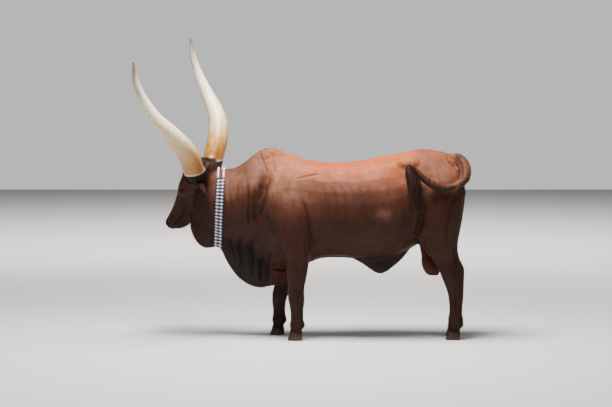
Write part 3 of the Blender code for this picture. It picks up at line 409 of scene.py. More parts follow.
# -------- finishes
class Graph:
    """A small builder for one material's nodes."""

    def __init__(self, name: str) -> None:
        """Starts a material with one principled shader.

        Args:
            name: the material's name.
        """
        self.material = bpy.data.materials.new(name)
        self.material.use_nodes = True
        self.tree = self.material.node_tree
        self.shader = self.tree.nodes["Principled BSDF"]
        self.place = self.add("ShaderNodeTexCoord").outputs["Object"]

    def add(self, kind: str, **settings) -> Node:
        """A new node with those settings.

        Args:
            kind: Blender's name of the node.
            settings: what is set on it.

        Returns:
            The node.
        """
        node = self.tree.nodes.new(kind)
        for name, value in settings.items():
            setattr(node, name, value)
        return node

    def feed(self, socket: NodeSocket, value: object) -> None:
        """Gives a socket a link or a fixed value.

        Args:
            socket: the socket.
            value: a socket, number or colour, or None to leave it.
        """
        if isinstance(value, NodeSocket):
            self.tree.links.new(value, socket)
        elif value is not None:
            socket.default_value = value

    def fixed(self, **numbers) -> None:
        """Sets the shader's own sockets, by their names with _ for a space."""
        for name, value in numbers.items():
            self.shader.inputs[name.replace("_", " ")].default_value = value

    def known(self, name: str, vector: bool = False) -> NodeSocket:
        """A value kept on the mesh under that name."""
        node = self.add("ShaderNodeAttribute", attribute_name=name)
        return node.outputs["Vector" if vector else "Fac"]

    def texture(self, kind: str, output: str, stretch: tuple = (1, 1, 1), place: NodeSocket = None,
                **numbers) -> NodeSocket:
        """A texture, with its grain stretched by the inverse of `stretch`.

        Args:
            kind: Blender's name of the node.
            output: the output that is read.
            stretch: the scale along each direction.
            place: where it is read, if not on the object itself.
            numbers: what is set on its inputs.

        Returns:
            The output.
        """
        mapping = self.add("ShaderNodeMapping")
        self.feed(mapping.inputs["Vector"], place or self.place)
        mapping.inputs["Scale"].default_value = stretch
        node = self.add(kind)
        self.feed(node.inputs["Vector"], mapping.outputs["Vector"])
        for name, number in numbers.items():
            node.inputs[name].default_value = number
        return node.outputs[output]

    def noise(self, scale: float, detail: float = 3.0, stretch: tuple = (1, 1, 1), rough: float = 0.55,
              place: NodeSocket = None) -> NodeSocket:
        """Cloudy noise from 0 to 1, of that many cells a metre and that many finer layers."""
        numbers = {"Scale": scale, "Detail": detail, "Roughness": rough}
        return self.texture("ShaderNodeTexNoise", "Fac", stretch, place, **numbers)

    def calc(self, operation: str, first: object, second: object = None) -> NodeSocket:
        """One sum of two values.

        Args:
            operation: Blender's name of the sum.
            first: one value.
            second: the other, if it takes two.

        Returns:
            The result.
        """
        node = self.add("ShaderNodeMath", operation=operation)
        self.feed(node.inputs[0], first)
        self.feed(node.inputs[1], second)
        return node.outputs[0]

    def times(self, first: object, second: object) -> NodeSocket:
        """One value times another."""
        return self.calc("MULTIPLY", first, second)

    def span(self, value: object, low: float, high: float, to_low: float = 0.0,
             to_high: float = 1.0) -> NodeSocket:
        """A value moved from one range to another and kept inside it.

        Args:
            value: the value.
            low: where its range starts.
            high: where it ends.
            to_low: the new start.
            to_high: the new end.

        Returns:
            The moved value.
        """
        node = self.add("ShaderNodeMapRange")
        self.feed(node.inputs["Value"], value)
        for name, number in zip(("From Min", "From Max", "To Min", "To Max"), (low, high, to_low, to_high)):
            node.inputs[name].default_value = number
        return node.outputs["Result"]

    def mix(self, share: object, first: object, second: object, way: str = "MIX") -> NodeSocket:
        """Two colours mixed by a share.

        Args:
            share: how much of the second.
            first: the first colour.
            second: the second colour.
            way: Blender's name of the way they mix.

        Returns:
            The mixed colour.
        """
        node = self.add("ShaderNodeMix", data_type="RGBA", blend_type=way)
        self.feed(node.inputs[0], share)
        self.feed(node.inputs[6], first)
        self.feed(node.inputs[7], second)
        return node.outputs[2]

    def ramp(self, value: object, stops: tuple) -> NodeSocket:
        """A colour read from stops of (place, colour).

        Args:
            value: where it is read.
            stops: the stops.

        Returns:
            The colour.
        """
        node = self.add("ShaderNodeValToRGB")
        self.feed(node.inputs[0], value)
        band = node.color_ramp
        while len(band.elements) < len(stops):
            band.elements.new(0.5)
        for element, (place, colour) in zip(band.elements, stops):
            element.position = place
            element.color = colour
        return node.outputs[0]

    def bump(self, height: object, reach: float, strength: float = 1.0,
             under: object = None) -> NodeSocket:
        """A bump of that height in metres over another bump.

        Args:
            height: the height, from 0 to 1.
            reach: what 1 stands for, in metres.
            strength: how strongly it shows.
            under: the other bump, if any.

        Returns:
            The bumped normal.
        """
        node = self.add("ShaderNodeBump")
        node.inputs["Strength"].default_value = strength
        node.inputs["Distance"].default_value = reach
        self.feed(node.inputs["Height"], height)
        self.feed(node.inputs["Normal"], under)
        return node.outputs[0]

    def finish(self, colour: object, rough: object, normal: object = None) -> Material:
        """Joins colour, roughness and bump to the shader and gives back the material.

        Args:
            colour: the base colour.
            rough: the roughness.
            normal: the bumped normal, if any.

        Returns:
            The material.
        """
        self.feed(self.shader.inputs["Base Color"], colour)
        self.feed(self.shader.inputs["Roughness"], rough)
        self.feed(self.shader.inputs["Normal"], normal)
        return self.material


@dataclass(frozen=True)
class HideFinish:
    """Short glossy hair over wrinkled skin, with the bull's own markings and with painted light and shade:
    painted sunlight and sheen on the upper parts, painted shade low on the body, in hollows and in creases.
    """

    name: str = "hide_hair"
    chestnut: tuple = tint(86, 47, 30)
    # umber: the own darker colour of the legs, face and poll, and also painted shade on the lower half, in
    # hollows and behind the switch
    umber: tuple = tint(39, 15, 6)
    # painted sunlight: orange on the back and upper sides, where the light from above falls
    tan: tuple = tint(172, 86, 40)
    # pale: partly dust, partly a painted sheen of the light from above
    pale: tuple = tint(164, 118, 92)
    rufous: tuple = tint(72, 28, 11)
    slate: tuple = tint(24, 18, 17)
    bare_skin: tuple = tint(24, 16, 15)
    dust: tuple = tint(150, 108, 84)
    sheen: tuple = tint(226, 170, 130)
    hair_bump: float = 0.0007
    strands: bool = False

    def material(self) -> Material:
        """The hide's material, read from the marks kept on the mesh.

        Returns:
            The material.
        """
        graph = Graph(self.name)
        # deep: the own dark of legs, face and poll, and painted shade on the lower half, in the hollow before
        # the shoulder blade and on the thigh behind the switch
        colour = graph.mix(graph.known("deep"), self.chestnut, self.umber)
        # painted sunlight on the back, strongest where the hide faces up
        colour = graph.mix(graph.known("tan"), colour, self.tan)
        # a painted sheen of the light from above, partly dust, on the upper neck, shoulder, hump and rump,
        # broken up by noise
        dusty_sheen = graph.span(graph.noise(7.5, 6.0, rough=0.65), 0.36, 0.60, 0.30, 1.0)
        dusty_sheen = graph.times(graph.known("pale"), dusty_sheen)
        colour = graph.mix(dusty_sheen, colour, self.pale)
        colour = graph.mix(graph.known("rufous"), colour, self.rufous)
        colour = graph.mix(graph.known("slate"), colour, self.slate)
        patches = graph.noise(3.2, 4.0)
        streaks = graph.noise(26.0, 4.0, (1.0, 1.0, 0.30))
        mottle = graph.noise(62.0, 4.0, (1.0, 1.0, 0.55), 0.6)
        hairs = graph.noise(330.0, 3.0, (0.55, 1.0, 0.16), 0.7)
        veils = [
            (patches, 0.30, 0.70, 0.42, (0.55, 0.50, 0.48, 1)),
            (streaks, 0.35, 0.70, 0.40, (0.45, 0.40, 0.38, 1)),
            (mottle, 0.42, 0.66, 0.34, (0.50, 0.44, 0.40, 1)),
            (hairs, 0.30, 0.70, 0.30, (1.9, 1.75, 1.6, 1)),
        ]
        if self.strands:
            veils.insert(0, (graph.known("strand"), 0.0, 1.0, 0.45, (1.7, 1.5, 1.35, 1)))
        for grain, low, high, most, tone in veils:
            colour = graph.mix(graph.span(grain, low, high, 0.0, most), colour, tone, "MULTIPLY")
        specks = graph.times(graph.span(graph.noise(95.0, 2.0), 0.70, 0.80), graph.known("dusty"))
        colour = graph.mix(graph.times(specks, 0.22), colour, self.dust)
        colour = graph.mix(graph.known("bare"), colour, self.bare_skin)
        # painted shade in the creases of the folds, the mouth's groove, the nostrils and the ear's cup
        crease = graph.times(graph.known("crease"), 0.75)
        colour = graph.mix(crease, colour, (0.30, 0.24, 0.22, 1), "MULTIPLY")
        wave = graph.add("ShaderNodeTexWave", bands_direction="X")
        graph.feed(wave.inputs["Vector"], graph.place)
        for name, number in (("Scale", 8.0), ("Distortion", 7.0), ("Detail", 3.0), ("Detail Scale", 0.7)):
            wave.inputs[name].default_value = number
        wrinkle = graph.times(wave.outputs["Fac"], graph.known("wrinkled"))
        normal = graph.bump(wrinkle, 0.0032)
        normal = graph.bump(graph.noise(14.0, 4.0), 0.0040, 1.0, normal)
        pores = graph.texture("ShaderNodeTexVoronoi", "Distance", Scale=260.0)
        pores = graph.times(pores, graph.known("bare"))
        normal = graph.bump(pores, 0.0010, 1.0, normal)
        normal = graph.bump(hairs, self.hair_bump, 0.8, normal)
        rough = graph.span(graph.noise(9.0, 3.0), 0.3, 0.7, 0.50, 0.68)
        graph.fixed(Sheen_Weight=0.04, Sheen_Roughness=0.45, Sheen_Tint=self.sheen, Specular_IOR_Level=0.18)
        return graph.finish(colour, rough, normal)


@dataclass(frozen=True)
class HornFinish:
    """Satin keratin: ochre root, cream middle and brown tip, with long fibres and growth rings, and darker
    ochre painted as shade on its underside.
    """

    name: str = "horn_keratin"
    root: tuple = tint(142, 86, 24)
    lower: tuple = tint(196, 140, 62)
    # darker ochre painted as shade on the horn's underside
    stain: tuple = tint(140, 90, 30)
    middle: tuple = tint(250, 232, 190)
    upper: tuple = tint(250, 240, 218)
    speck: tuple = tint(112, 70, 30)
    tip: tuple = tint(112, 88, 66)
    hide: tuple = tint(40, 24, 18)

    def material(self) -> Material:
        """The horns' material.

        Returns:
            The material.
        """
        graph = Graph(self.name)
        grain = graph.known("grain", vector=True)
        along = graph.known("along")
        cloud = graph.noise(2.2, 4.0, (1, 1, 0.5), place=grain)
        shifted = graph.calc("ADD", along, graph.span(cloud, 0.2, 0.8, -0.10, 0.10))
        places = (0.05, 0.20, 0.42, 0.72, 1.0)
        tones = (self.root, self.lower, self.middle, self.upper, self.tip)
        colour = graph.ramp(shifted, tuple(zip(places, tones)))
        fibre = graph.noise(7.0, 5.0, (1, 1, 0.10), place=grain)
        colour = graph.mix(graph.span(fibre, 0.35, 0.75, 0.0, 0.34), colour, tint(186, 150, 100), "MULTIPLY")
        stain = graph.span(graph.noise(3.6, 6.0, (1, 1, 0.8), 0.7, place=grain), 0.60, 0.76)
        near_root = graph.span(along, 0.0, 0.45, 0.9, 0.25)
        colour = graph.mix(graph.times(stain, near_root), colour, tint(122, 88, 52), "MULTIPLY")
        spots = graph.span(graph.noise(11.0, 5.0, (1, 1, 0.40), 0.65, place=grain), 0.52, 0.64)
        spotted = graph.times(spots, graph.span(along, 0.10, 0.60, 0.72, 0.12))
        colour = graph.mix(spotted, colour, self.speck)
        # painted shade: darker ochre on the side that faces down, most near the root
        below = graph.times(graph.known("under"), graph.span(along, 0.15, 0.70, 0.85, 0.15))
        below = graph.times(below, graph.span(cloud, 0.25, 0.65, 0.55, 1.0))
        colour = graph.mix(below, colour, self.stain)
        scratch = graph.span(graph.noise(26.0, 3.0, (1, 1, 0.05), place=grain), 0.64, 0.74, 0.0, 0.30)
        colour = graph.mix(scratch, colour, tint(120, 96, 70))
        colour = graph.mix(graph.times(graph.known("rim"), 0.75), colour, tint(226, 196, 158))
        colour = graph.mix(graph.known("covered"), colour, self.hide)
        normal = graph.bump(fibre, 0.0014)
        normal = graph.bump(graph.noise(30.0, 3.0, (1, 1, 0.08), place=grain), 0.0005, 0.8, normal)
        graph.fixed(Coat_Weight=0.10, Coat_Roughness=0.30)
        rough = graph.span(cloud, 0.3, 0.7, 0.30, 0.46)
        return graph.finish(colour, rough, normal)


@dataclass(frozen=True)
class HoofFinish:
    """Dull dark keratin with fine rings and a paler edge where the claw wears."""

    name: str = "claw_keratin"
    dark: tuple = tint(32, 24, 21)
    worn: tuple = tint(72, 58, 47)
    dewclaw: tuple = tint(22, 15, 12)

    def material(self) -> Material:
        """The claws' material.

        Returns:
            The material.
        """
        graph = Graph(self.name)
        height = graph.add("ShaderNodeSeparateXYZ")
        graph.feed(height.inputs[0], graph.place)
        rings = graph.noise(80.0, 3.0, (0.15, 0.15, 1.0))
        level = graph.calc("ADD", height.outputs[2], graph.span(rings, 0.3, 0.7, -0.008, 0.008))
        colour = graph.mix(graph.span(level, 0.0, 0.035), self.worn, self.dark)
        colour = graph.mix(graph.span(graph.noise(30.0, 4.0), 0.4, 0.7, 0.0, 0.30), colour, tint(88, 66, 50))
        colour = graph.mix(graph.span(height.outputs[2], 0.060, 0.080), colour, self.dewclaw)
        normal = graph.bump(rings, 0.0016)
        normal = graph.bump(graph.noise(220.0, 2.0, (1, 1, 0.2)), 0.0003, 1.0, normal)
        graph.fixed(Specular_IOR_Level=0.28)
        return graph.finish(colour, graph.span(rings, 0.3, 0.7, 0.48, 0.66), normal)


@dataclass(frozen=True)
class EyeFinish:
    """A wet dark brown eye with a level pupil."""

    name: str = "eye_wet"
    iris: tuple = tint(40, 21, 12)
    rim: tuple = tint(14, 9, 7)
    white: tuple = tint(84, 62, 52)

    def material(self) -> Material:
        """The eyes' material.

        Returns:
            The material.
        """
        graph = Graph(self.name)
        places = (0.0, 0.30, 0.36, 0.60, 0.70, 0.80, 1.0)
        tones = (tint(6, 5, 5), tint(8, 6, 6), self.iris, self.iris, self.rim, self.white, self.white)
        colour = graph.ramp(graph.known("ring"), tuple(zip(places, tones)))
        veins = graph.span(graph.noise(420.0, 4.0), 0.5, 0.75, 0.0, 0.5)
        colour = graph.mix(veins, colour, tint(96, 60, 46), "MULTIPLY")
        graph.fixed(Coat_Weight=0.20, Coat_Roughness=0.04, Specular_IOR_Level=0.08)
        return graph.finish(colour, graph.span(veins, 0.0, 0.5, 0.10, 0.18))


@dataclass(frozen=True)
class HairFinish:
    """Long dark hair of the tail's switch and the lashes."""

    name: str = "switch_long_hair"
    dark: tuple = tint(34, 20, 16)
    light: tuple = tint(78, 50, 38)

    def material(self) -> Material:
        """The long hair's material.

        Returns:
            The material.
        """
        graph = Graph(self.name)
        colour = graph.mix(graph.known("shade"), self.dark, self.light)
        strands = graph.noise(700.0, 2.0, (1.0, 1.0, 0.06))
        colour = graph.mix(graph.span(strands, 0.35, 0.7, 0.0, 0.5), colour, (0.4, 0.36, 0.34, 1), "MULTIPLY")
        graph.fixed(Specular_IOR_Level=0.25)
        return graph.finish(colour, graph.span(strands, 0.3, 0.7, 0.42, 0.58), graph.bump(strands, 0.0004))


@dataclass(frozen=True)
class BeadFinish:
    """Small glass beads in two colours, a little uneven."""

    name: str = "glass_beads"
    cream: tuple = tint(242, 240, 234)
    navy: tuple = tint(13, 10, 68)

    def material(self) -> Material:
        """The beads' material.

        Returns:
            The material.
        """
        graph = Graph(self.name)
        colour = graph.mix(graph.known("navy"), self.cream, self.navy)
        shade = graph.times(graph.known("shade"), 0.30)
        colour = graph.mix(shade, colour, (0.55, 0.52, 0.50, 1), "MULTIPLY")
        graph.fixed(Coat_Weight=0.05, Coat_Roughness=0.2, Specular_IOR_Level=0.2)
        speck = graph.noise(900.0, 2.0)
        return graph.finish(colour, graph.span(speck, 0.3, 0.7, 0.34, 0.46), graph.bump(speck, 0.0001))


@dataclass(frozen=True)
class FloorFinish:
    """A plain pale floor."""

    name: str = "pale_floor"
    colour: tuple = tint(222, 219, 214)

    def material(self) -> Material:
        """The floor's material.

        Returns:
            The material.
        """
        graph = Graph(self.name)
        graph.fixed(Roughness=0.85, Base_Color=self.colour)
        return graph.material


# -------- the head's own directions
@dataclass(frozen=True)
class HornRoot:
    """Where the hide ends round one horn: little of the horn is covered above, much of it below."""

    place: Array
    axis: Array
    upper: Array
    reach: tuple = (0.082, 0.062)
    radius: float = 0.066

    def along(self, points: Array) -> tuple:
        """How far along the axis each place lies, its vector from the axis, and where the hide ends there.

        Args:
            points: places, one row each.

        Returns:
            Distances along the axis, vectors away from it, and the hide's edge there.
        """
        rel = points - self.place
        travel = rel @ self.axis
        away = rel - np.outer(travel, self.axis)
        lean = unit(away) @ self.upper
        return travel, away, self.reach[0] - self.reach[1] * lean


@dataclass(frozen=True)
class HeadFrame:
    """Where the head is and how it is turned, tilted and lowered."""

    yaw: float = math.radians(20.6)
    roll: float = math.radians(12.8)
    pitch: float = math.radians(59.8)
    eye_radius: float = 0.0225
    eye_place: tuple = (0.205, 0.051, 0.1075)
    slit_half: float = 0.0203
    slit_height: float = 0.0112

    @property
    def place(self) -> Vector:
        """The middle of the line between the horn roots."""
        return Vector((-0.748, 0.040, 1.253)) + SHIFT

    def level_axes(self) -> tuple:
        """Forward, up and left of the turned and tilted head, before it is lowered.

        Returns:
            Three directions.
        """
        heading = Vector((-math.cos(self.yaw), math.sin(self.yaw), 0))
        flat_left = Vector((-math.sin(self.yaw), -math.cos(self.yaw), 0))
        left = flat_left * math.cos(self.roll) - UP * math.sin(self.roll)
        top = UP * math.cos(self.roll) + flat_left * math.sin(self.roll)
        return heading, top, left

    def axes(self) -> tuple:
        """Along the face, out of the forehead, and to the bull's left.

        Returns:
            Three directions.
        """
        heading, top, left = self.level_axes()
        along = heading * math.cos(self.pitch) - top * math.sin(self.pitch)
        out = heading * math.sin(self.pitch) + top * math.cos(self.pitch)
        return along, out, left

    def point(self, along: float, out: float, left: float) -> Vector:
        """A place on the head."""
        first, second, third = self.axes()
        return self.place + first * along + second * out + third * left

    def horn_root(self, side: Side) -> HornRoot:
        """The root of one horn.

        Args:
            side: which side of the bull.

        Returns:
            The root.
        """
        _, top, left = arrays(self.level_axes())
        place = np.array(self.place) + top * -0.045 + left * 0.095 * side.value
        axis = unit(top * 0.0599 + left * 0.0753 * side.value)
        upper = unit(top - axis * axis.dot(top))
        return HornRoot(place, axis, upper)

    def local(self, points: Array) -> Array:
        """Places in the head's own (along, out, left)."""
        turn = np.array([axis[:] for axis in self.axes()])
        return (points - np.array(self.place)) @ turn.T

    @staticmethod
    def share(x: Array, local: Array) -> Array:
        """How much of each place is head and not neck, by its x and its place on the head."""
        return ease(-x, 0.66, 0.73) * ease(local[:, 0], -0.02, 0.05)

    def eye_axes(self, side: Side) -> tuple:
        """Outward axis, slit axis and height axis of one eye.

        Args:
            side: which side of the bull.

        Returns:
            Three directions.
        """
        along, out, left = self.axes()
        gaze = (left * side.value * 0.93 + out * 0.34 + along * 0.05).normalized()
        slit = along * 0.92 + out * 0.32
        slit = (slit - gaze * slit.dot(gaze)).normalized()
        return gaze, slit, gaze.cross(slit)

    def slit_edge(self, along: Array) -> Array:
        """How far the lids stand open, up and down, that far along an eye's slit."""
        return self.slit_height * np.maximum(1 - (along / self.slit_half) ** 2, 0) ** 0.8

    def eye_centre(self, side: Side) -> Vector:
        """The middle of one eyeball."""
        along, out, left = self.eye_place
        return self.point(along, out, side.value * left) - self.eye_axes(side)[0] * self.eye_radius


# -------- forms raised and sunk in the skin
@dataclass(frozen=True)
class Fold:
    """A crease seen from the side: its line of (x, z), its width and depth, and the ridge behind it."""

    line: tuple
    width: float
    depth: float
    ridge: float = 0.3
    both: bool = False
    reach: tuple = (-1.0, 1.0)
    side: int = 0

    def heights(self, points: Array, normals: Array) -> tuple:
        """How far the skin moves out, and how much of it lies in the crease, at each place.

        Args:
            points: places, one row each.
            normals: the surface's normals there.

        Returns:
            Heights, and shares from 0 to 1 of painted shade along the crease.
        """
        margin = 4 * self.width
        path = np.array(self.line)
        low = path.min(axis=0) - margin
        high = path.max(axis=0) + margin
        flat = points[:, (0, 2)]
        near = np.all((flat > low) & (flat < high), axis=1)
        near &= (points[:, 1] > self.reach[0]) & (points[:, 1] < self.reach[1])
        if self.side:
            near &= normals[:, 1] * self.side < 0
        index = np.nonzero(near)[0]
        height = np.zeros(len(points))
        dark = np.zeros(len(points))
        if not len(index):
            return height, dark
        sense, share = by_line(path, flat[index])
        fade = ease(share, 0.0, 0.22) * ease(share, 1.0, 0.78)
        fade = fade * ease(np.abs(normals[index, 1]), 0.10, 0.45)
        lip = mound(sense, 1.7 * self.width, 1.2 * self.width)
        if self.both:
            lip = lip + mound(sense, -1.7 * self.width, 1.2 * self.width)
        height[index] = fade * self.depth * (self.ridge * lip - mound(sense, 0.0, self.width))
        # dark: painted shade along the bottom of the crease
        dark[index] = fade * mound(sense, 0.0, 0.55 * self.width) * min(1.0, self.depth / 0.010)
        return height, dark


@dataclass(frozen=True)
class Swell:
    """A muscle, bone or hollow seen from the side: centre, two radii, height and tilt."""

    x: float
    z: float
    radius_x: float
    radius_z: float
    height: float
    tilt: float = 0.0
    reach: tuple = (-1.0, 1.0)

    def heights(self, points: Array, normals: Array) -> Array:
        """How far the skin moves out at each place.

        Args:
            points: places, one row each.
            normals: the surface's normals there.

        Returns:
            One height a place.
        """
        c = math.cos(self.tilt)
        s = math.sin(self.tilt)
        dx = points[:, 0] - self.x
        dz = points[:, 2] - self.z
        u = (dx * c + dz * s) / self.radius_x
        v = (dz * c - dx * s) / self.radius_z
        inside = (points[:, 1] > self.reach[0]) & (points[:, 1] < self.reach[1])
        return self.height * np.exp(-(u * u + v * v)) * ease(np.abs(normals[:, 1]), 0.05, 0.4) * inside


@dataclass(frozen=True)
class Knob:
    """A rise or hollow in the head's own (along, out, left), alike on both sides."""

    along: float
    out: float
    left: float
    sizes: tuple
    height: float

    def heights(self, local: Array) -> Array:
        """How far the skin moves out at each place of the head.

        Args:
            local: places in the head's own directions.

        Returns:
            One height a place.
        """
        rel = (local[:, 0] - self.along) / self.sizes[0]
        rise = (local[:, 1] - self.out) / self.sizes[1]
        wide = (np.abs(local[:, 2]) - self.left) / self.sizes[2]
        return self.height * np.exp(-(rel * rel + rise * rise + wide * wide))


BODY_FOLDS = (
    Fold(((-0.229, 1.237), (-0.251, 1.179), (-0.279, 1.107), (-0.301, 1.02), (-0.323, 0.934),
          (-0.344, 0.833)), 0.030, 0.016, 0.45),
    Fold(((-0.291, 0.940), (-0.250, 0.860), (-0.223, 0.783), (-0.195, 0.700), (-0.178, 0.610)),
         0.018, 0.008, 0.4),
    Fold(((-0.55, 1.162), (-0.543, 1.017), (-0.535, 0.872)), 0.012, 0.004, 0.4, True),
    Fold(((-0.492, 1.168), (-0.488, 1.053), (-0.485, 0.946)), 0.010, 0.007, 0.5, True),
    Fold(((-0.419, 1.191), (-0.412, 1.053), (-0.408, 0.93), (-0.412, 0.808)), 0.013, 0.008, 0.5, True),
    Fold(((-0.361, 1.134), (-0.358, 0.981), (-0.361, 0.817)), 0.012, 0.007, 0.5, True),
    Fold(((-0.347, 1.381), (-0.308, 1.309), (-0.272, 1.208)), 0.009, 0.005, 0.4, True),
    Fold(((-0.251, 1.388), (-0.229, 1.309), (-0.215, 1.193)), 0.009, 0.005, 0.4, True),
    Fold(((-0.308, 1.359), (-0.344, 1.273)), 0.009, 0.005, 0.4, True),
    Fold(((-0.03, 1.062), (0.002, 0.963), (0.027, 0.862), (0.038, 0.761), (0.045, 0.64)), 0.015, 0.013, 0.0),
    Fold(((0.002, 0.741), (0.010, 0.68), (0.020, 0.60)), 0.009, 0.008, 0.4, True),
    Fold(((-0.076, 1.168), (0.002, 1.186), (0.115, 1.208)), 0.009, 0.0034, 0.4, True),
    Fold(((0.666, 0.657), (0.744, 0.711), (0.802, 0.733), (0.859, 0.699), (0.903, 0.634), (0.946, 0.559)),
         0.015, 0.012, 0.9),
    Fold(((0.845, 1.06), (0.850, 0.95), (0.830, 0.84), (0.800, 0.76)), 0.022, 0.010, 0.3),
    Fold(((1.09, 1.10), (1.05, 0.95), (1.02, 0.80), (1.04, 0.66)), 0.016, 0.007, 0.4, True),
    Fold(((1.032, 1.318), (1.072, 1.275), (1.109, 1.237)), 0.008, 0.009, 0.5, True, side=1),
    Fold(((1.060, 1.327), (1.090, 1.287), (1.116, 1.255)), 0.007, 0.008, 0.5, True, side=1),
    Fold(((1.086, 1.322), (1.105, 1.297), (1.119, 1.268)), 0.006, 0.007, 0.5, True, side=1),
    Fold(((-0.246, 0.545), (-0.193, 0.552), (-0.150, 0.535)), 0.008, 0.008, 0.6, True),
    Fold(((-0.235, 0.512), (-0.180, 0.503), (-0.128, 0.503)), 0.008, 0.009, 0.6, True),
    Fold(((-0.487, 0.795), (-0.473, 0.649), (-0.451, 0.503)), 0.016, 0.009, 0.5, True),
    Fold(((-0.400, 0.759), (-0.393, 0.613), (-0.400, 0.437)), 0.018, 0.011, 0.5, True),
    Fold(((-0.312, 0.706), (-0.312, 0.561), (-0.320, 0.395)), 0.018, 0.012, 0.5, True),
    Fold(((-0.254, 0.669), (-0.268, 0.540), (-0.276, 0.395)), 0.014, 0.010, 0.5, True),
    Fold(((-0.555, 0.760), (-0.530, 0.650), (-0.500, 0.560)), 0.013, 0.007, 0.5, True),
    Fold(((0.10, 0.605), (0.29, 0.598), (0.434, 0.592), (0.634, 0.612)), 0.012, 0.006, 0.4, True),
    Fold(((-0.700, 1.080), (-0.712, 0.960), (-0.748, 0.870)), 0.016, 0.008, 0.2),
)
RIBS = tuple(
    Fold(((0.115 + 0.066 * n, 1.15 - 0.004 * n), (0.150 + 0.068 * n, 1.03), (0.185 + 0.069 * n, 0.86)),
         0.017, depth, 0.5, True)
    for n, depth in enumerate((0.0032, 0.0022, 0.0036, 0.0018, 0.0028, 0.0014, 0.0024, 0.0012, 0.0016))
)
BODY_SWELLS = (
    Swell(-0.150, 1.080, 0.100, 0.150, 0.012, 0.25),
    Swell(-0.090, 0.860, 0.085, 0.120, 0.012, -0.2),
    Swell(-0.322, 1.080, 0.036, 0.150, -0.020, -0.19),
    Swell(-0.270, 0.830, 0.060, 0.080, 0.010),
    Swell(0.690, 1.190, 0.060, 0.075, -0.014, 0.3),
    Swell(0.757, 1.295, 0.075, 0.050, 0.007),
    Swell(0.795, 1.080, 0.034, 0.130, -0.012, 0.12),
    Swell(0.930, 1.030, 0.090, 0.130, 0.010, -0.2),
    Swell(0.586, 0.898, 0.045, 0.045, 0.009),
    Swell(0.865, 0.800, 0.055, 0.075, 0.010),
    Swell(1.000, 0.840, 0.070, 0.110, 0.008),
    Swell(0.300, 0.900, 0.250, 0.170, 0.006),
)


NEAR = (-0.40, -0.02)  # the y of the near legs
FAR = (0.06, 0.45)  # the y of the far legs
LEGS = {"fore": ((-0.061, NEAR), (-0.196, FAR)), "hind": ((1.097, NEAR), (1.121, FAR))}
LEG_FOLDS = {
    "fore": (
        (((0.012, 0.34), (0.016, 0.25), (0.016, 0.155)), 0.007, 0.005, 0.5),
        (((-0.010, 0.62), (0.004, 0.53), (0.010, 0.45)), 0.012, 0.006, 0.4),
    ),
    "hind": (
        (((-0.015, 0.44), (-0.002, 0.32), (0.002, 0.165)), 0.007, 0.005, 0.5),
        (((-0.020, 0.72), (-0.005, 0.62), (0.008, 0.52)), 0.012, 0.010, 0.2),
    ),
}
LEG_SWELLS = {
    "fore": ((-0.012, 0.385, 0.030, 0.035, 0.005), (0.018, 0.135, 0.026, 0.022, 0.004)),
    "hind": ((-0.030, 0.475, 0.030, 0.035, 0.006), (0.006, 0.140, 0.026, 0.022, 0.004)),
}


def leg_forms() -> tuple:
    """The tendons and joints of the four legs.

    Returns:
        Folds and swells.
    """
    folds = []
    swells = []
    for pair, legs in LEGS.items():
        for x, reach in legs:
            for line, width, depth, ridge in LEG_FOLDS[pair]:
                path = tuple((x + ahead, z) for ahead, z in line)
                folds.append(Fold(path, width, depth, ridge, True, reach))
            for ahead, *sizes in LEG_SWELLS[pair]:
                swells.append(Swell(x + ahead, *sizes, 0.0, reach))
    return tuple(folds), tuple(swells)


HEAD_KNOBS = (
    Knob(0.158, 0.086, 0.094, (0.045, 0.022, 0.022), 0.0090),
    Knob(0.205, 0.098, 0.062, (0.060, 0.026, 0.024), 0.0045),
    Knob(0.265, 0.032, 0.096, (0.040, 0.022, 0.030), -0.0090),
    Knob(0.225, 0.012, 0.104, (0.050, 0.014, 0.030), 0.0040),
    Knob(0.150, -0.070, 0.092, (0.075, 0.052, 0.040), 0.0100),
    Knob(0.260, -0.085, 0.060, (0.060, 0.018, 0.030), 0.0050),
    Knob(0.345, 0.094, 0.050, (0.060, 0.020, 0.020), -0.0060),
    Knob(0.270, 0.112, 0.000, (0.130, 0.030, 0.020), 0.0036),
    Knob(0.080, 0.058, 0.112, (0.036, 0.034, 0.020), -0.0070),
    Knob(0.325, 0.006, 0.080, (0.075, 0.012, 0.030), 0.0062),
    Knob(0.372, -0.030, 0.062, (0.060, 0.018, 0.030), -0.0062),
    Knob(0.430, 0.030, 0.066, (0.040, 0.020, 0.020), -0.0034),
    Knob(0.496, 0.024, 0.078, (0.032, 0.013, 0.020), 0.0056),
    Knob(0.538, 0.080, 0.046, (0.020, 0.020, 0.016), 0.0046),
    Knob(0.500, 0.086, 0.066, (0.022, 0.012, 0.014), 0.0060),
    Knob(0.500, -0.012, 0.040, (0.030, 0.014, 0.026), 0.0036),
    Knob(0.040, 0.120, 0.000, (0.050, 0.030, 0.050), 0.0040),
)
MOUTH = ((0.402, -0.018), (0.438, -0.007), (0.470, 0.000), (0.501, 0.008), (0.528, 0.016), (0.570, 0.030))


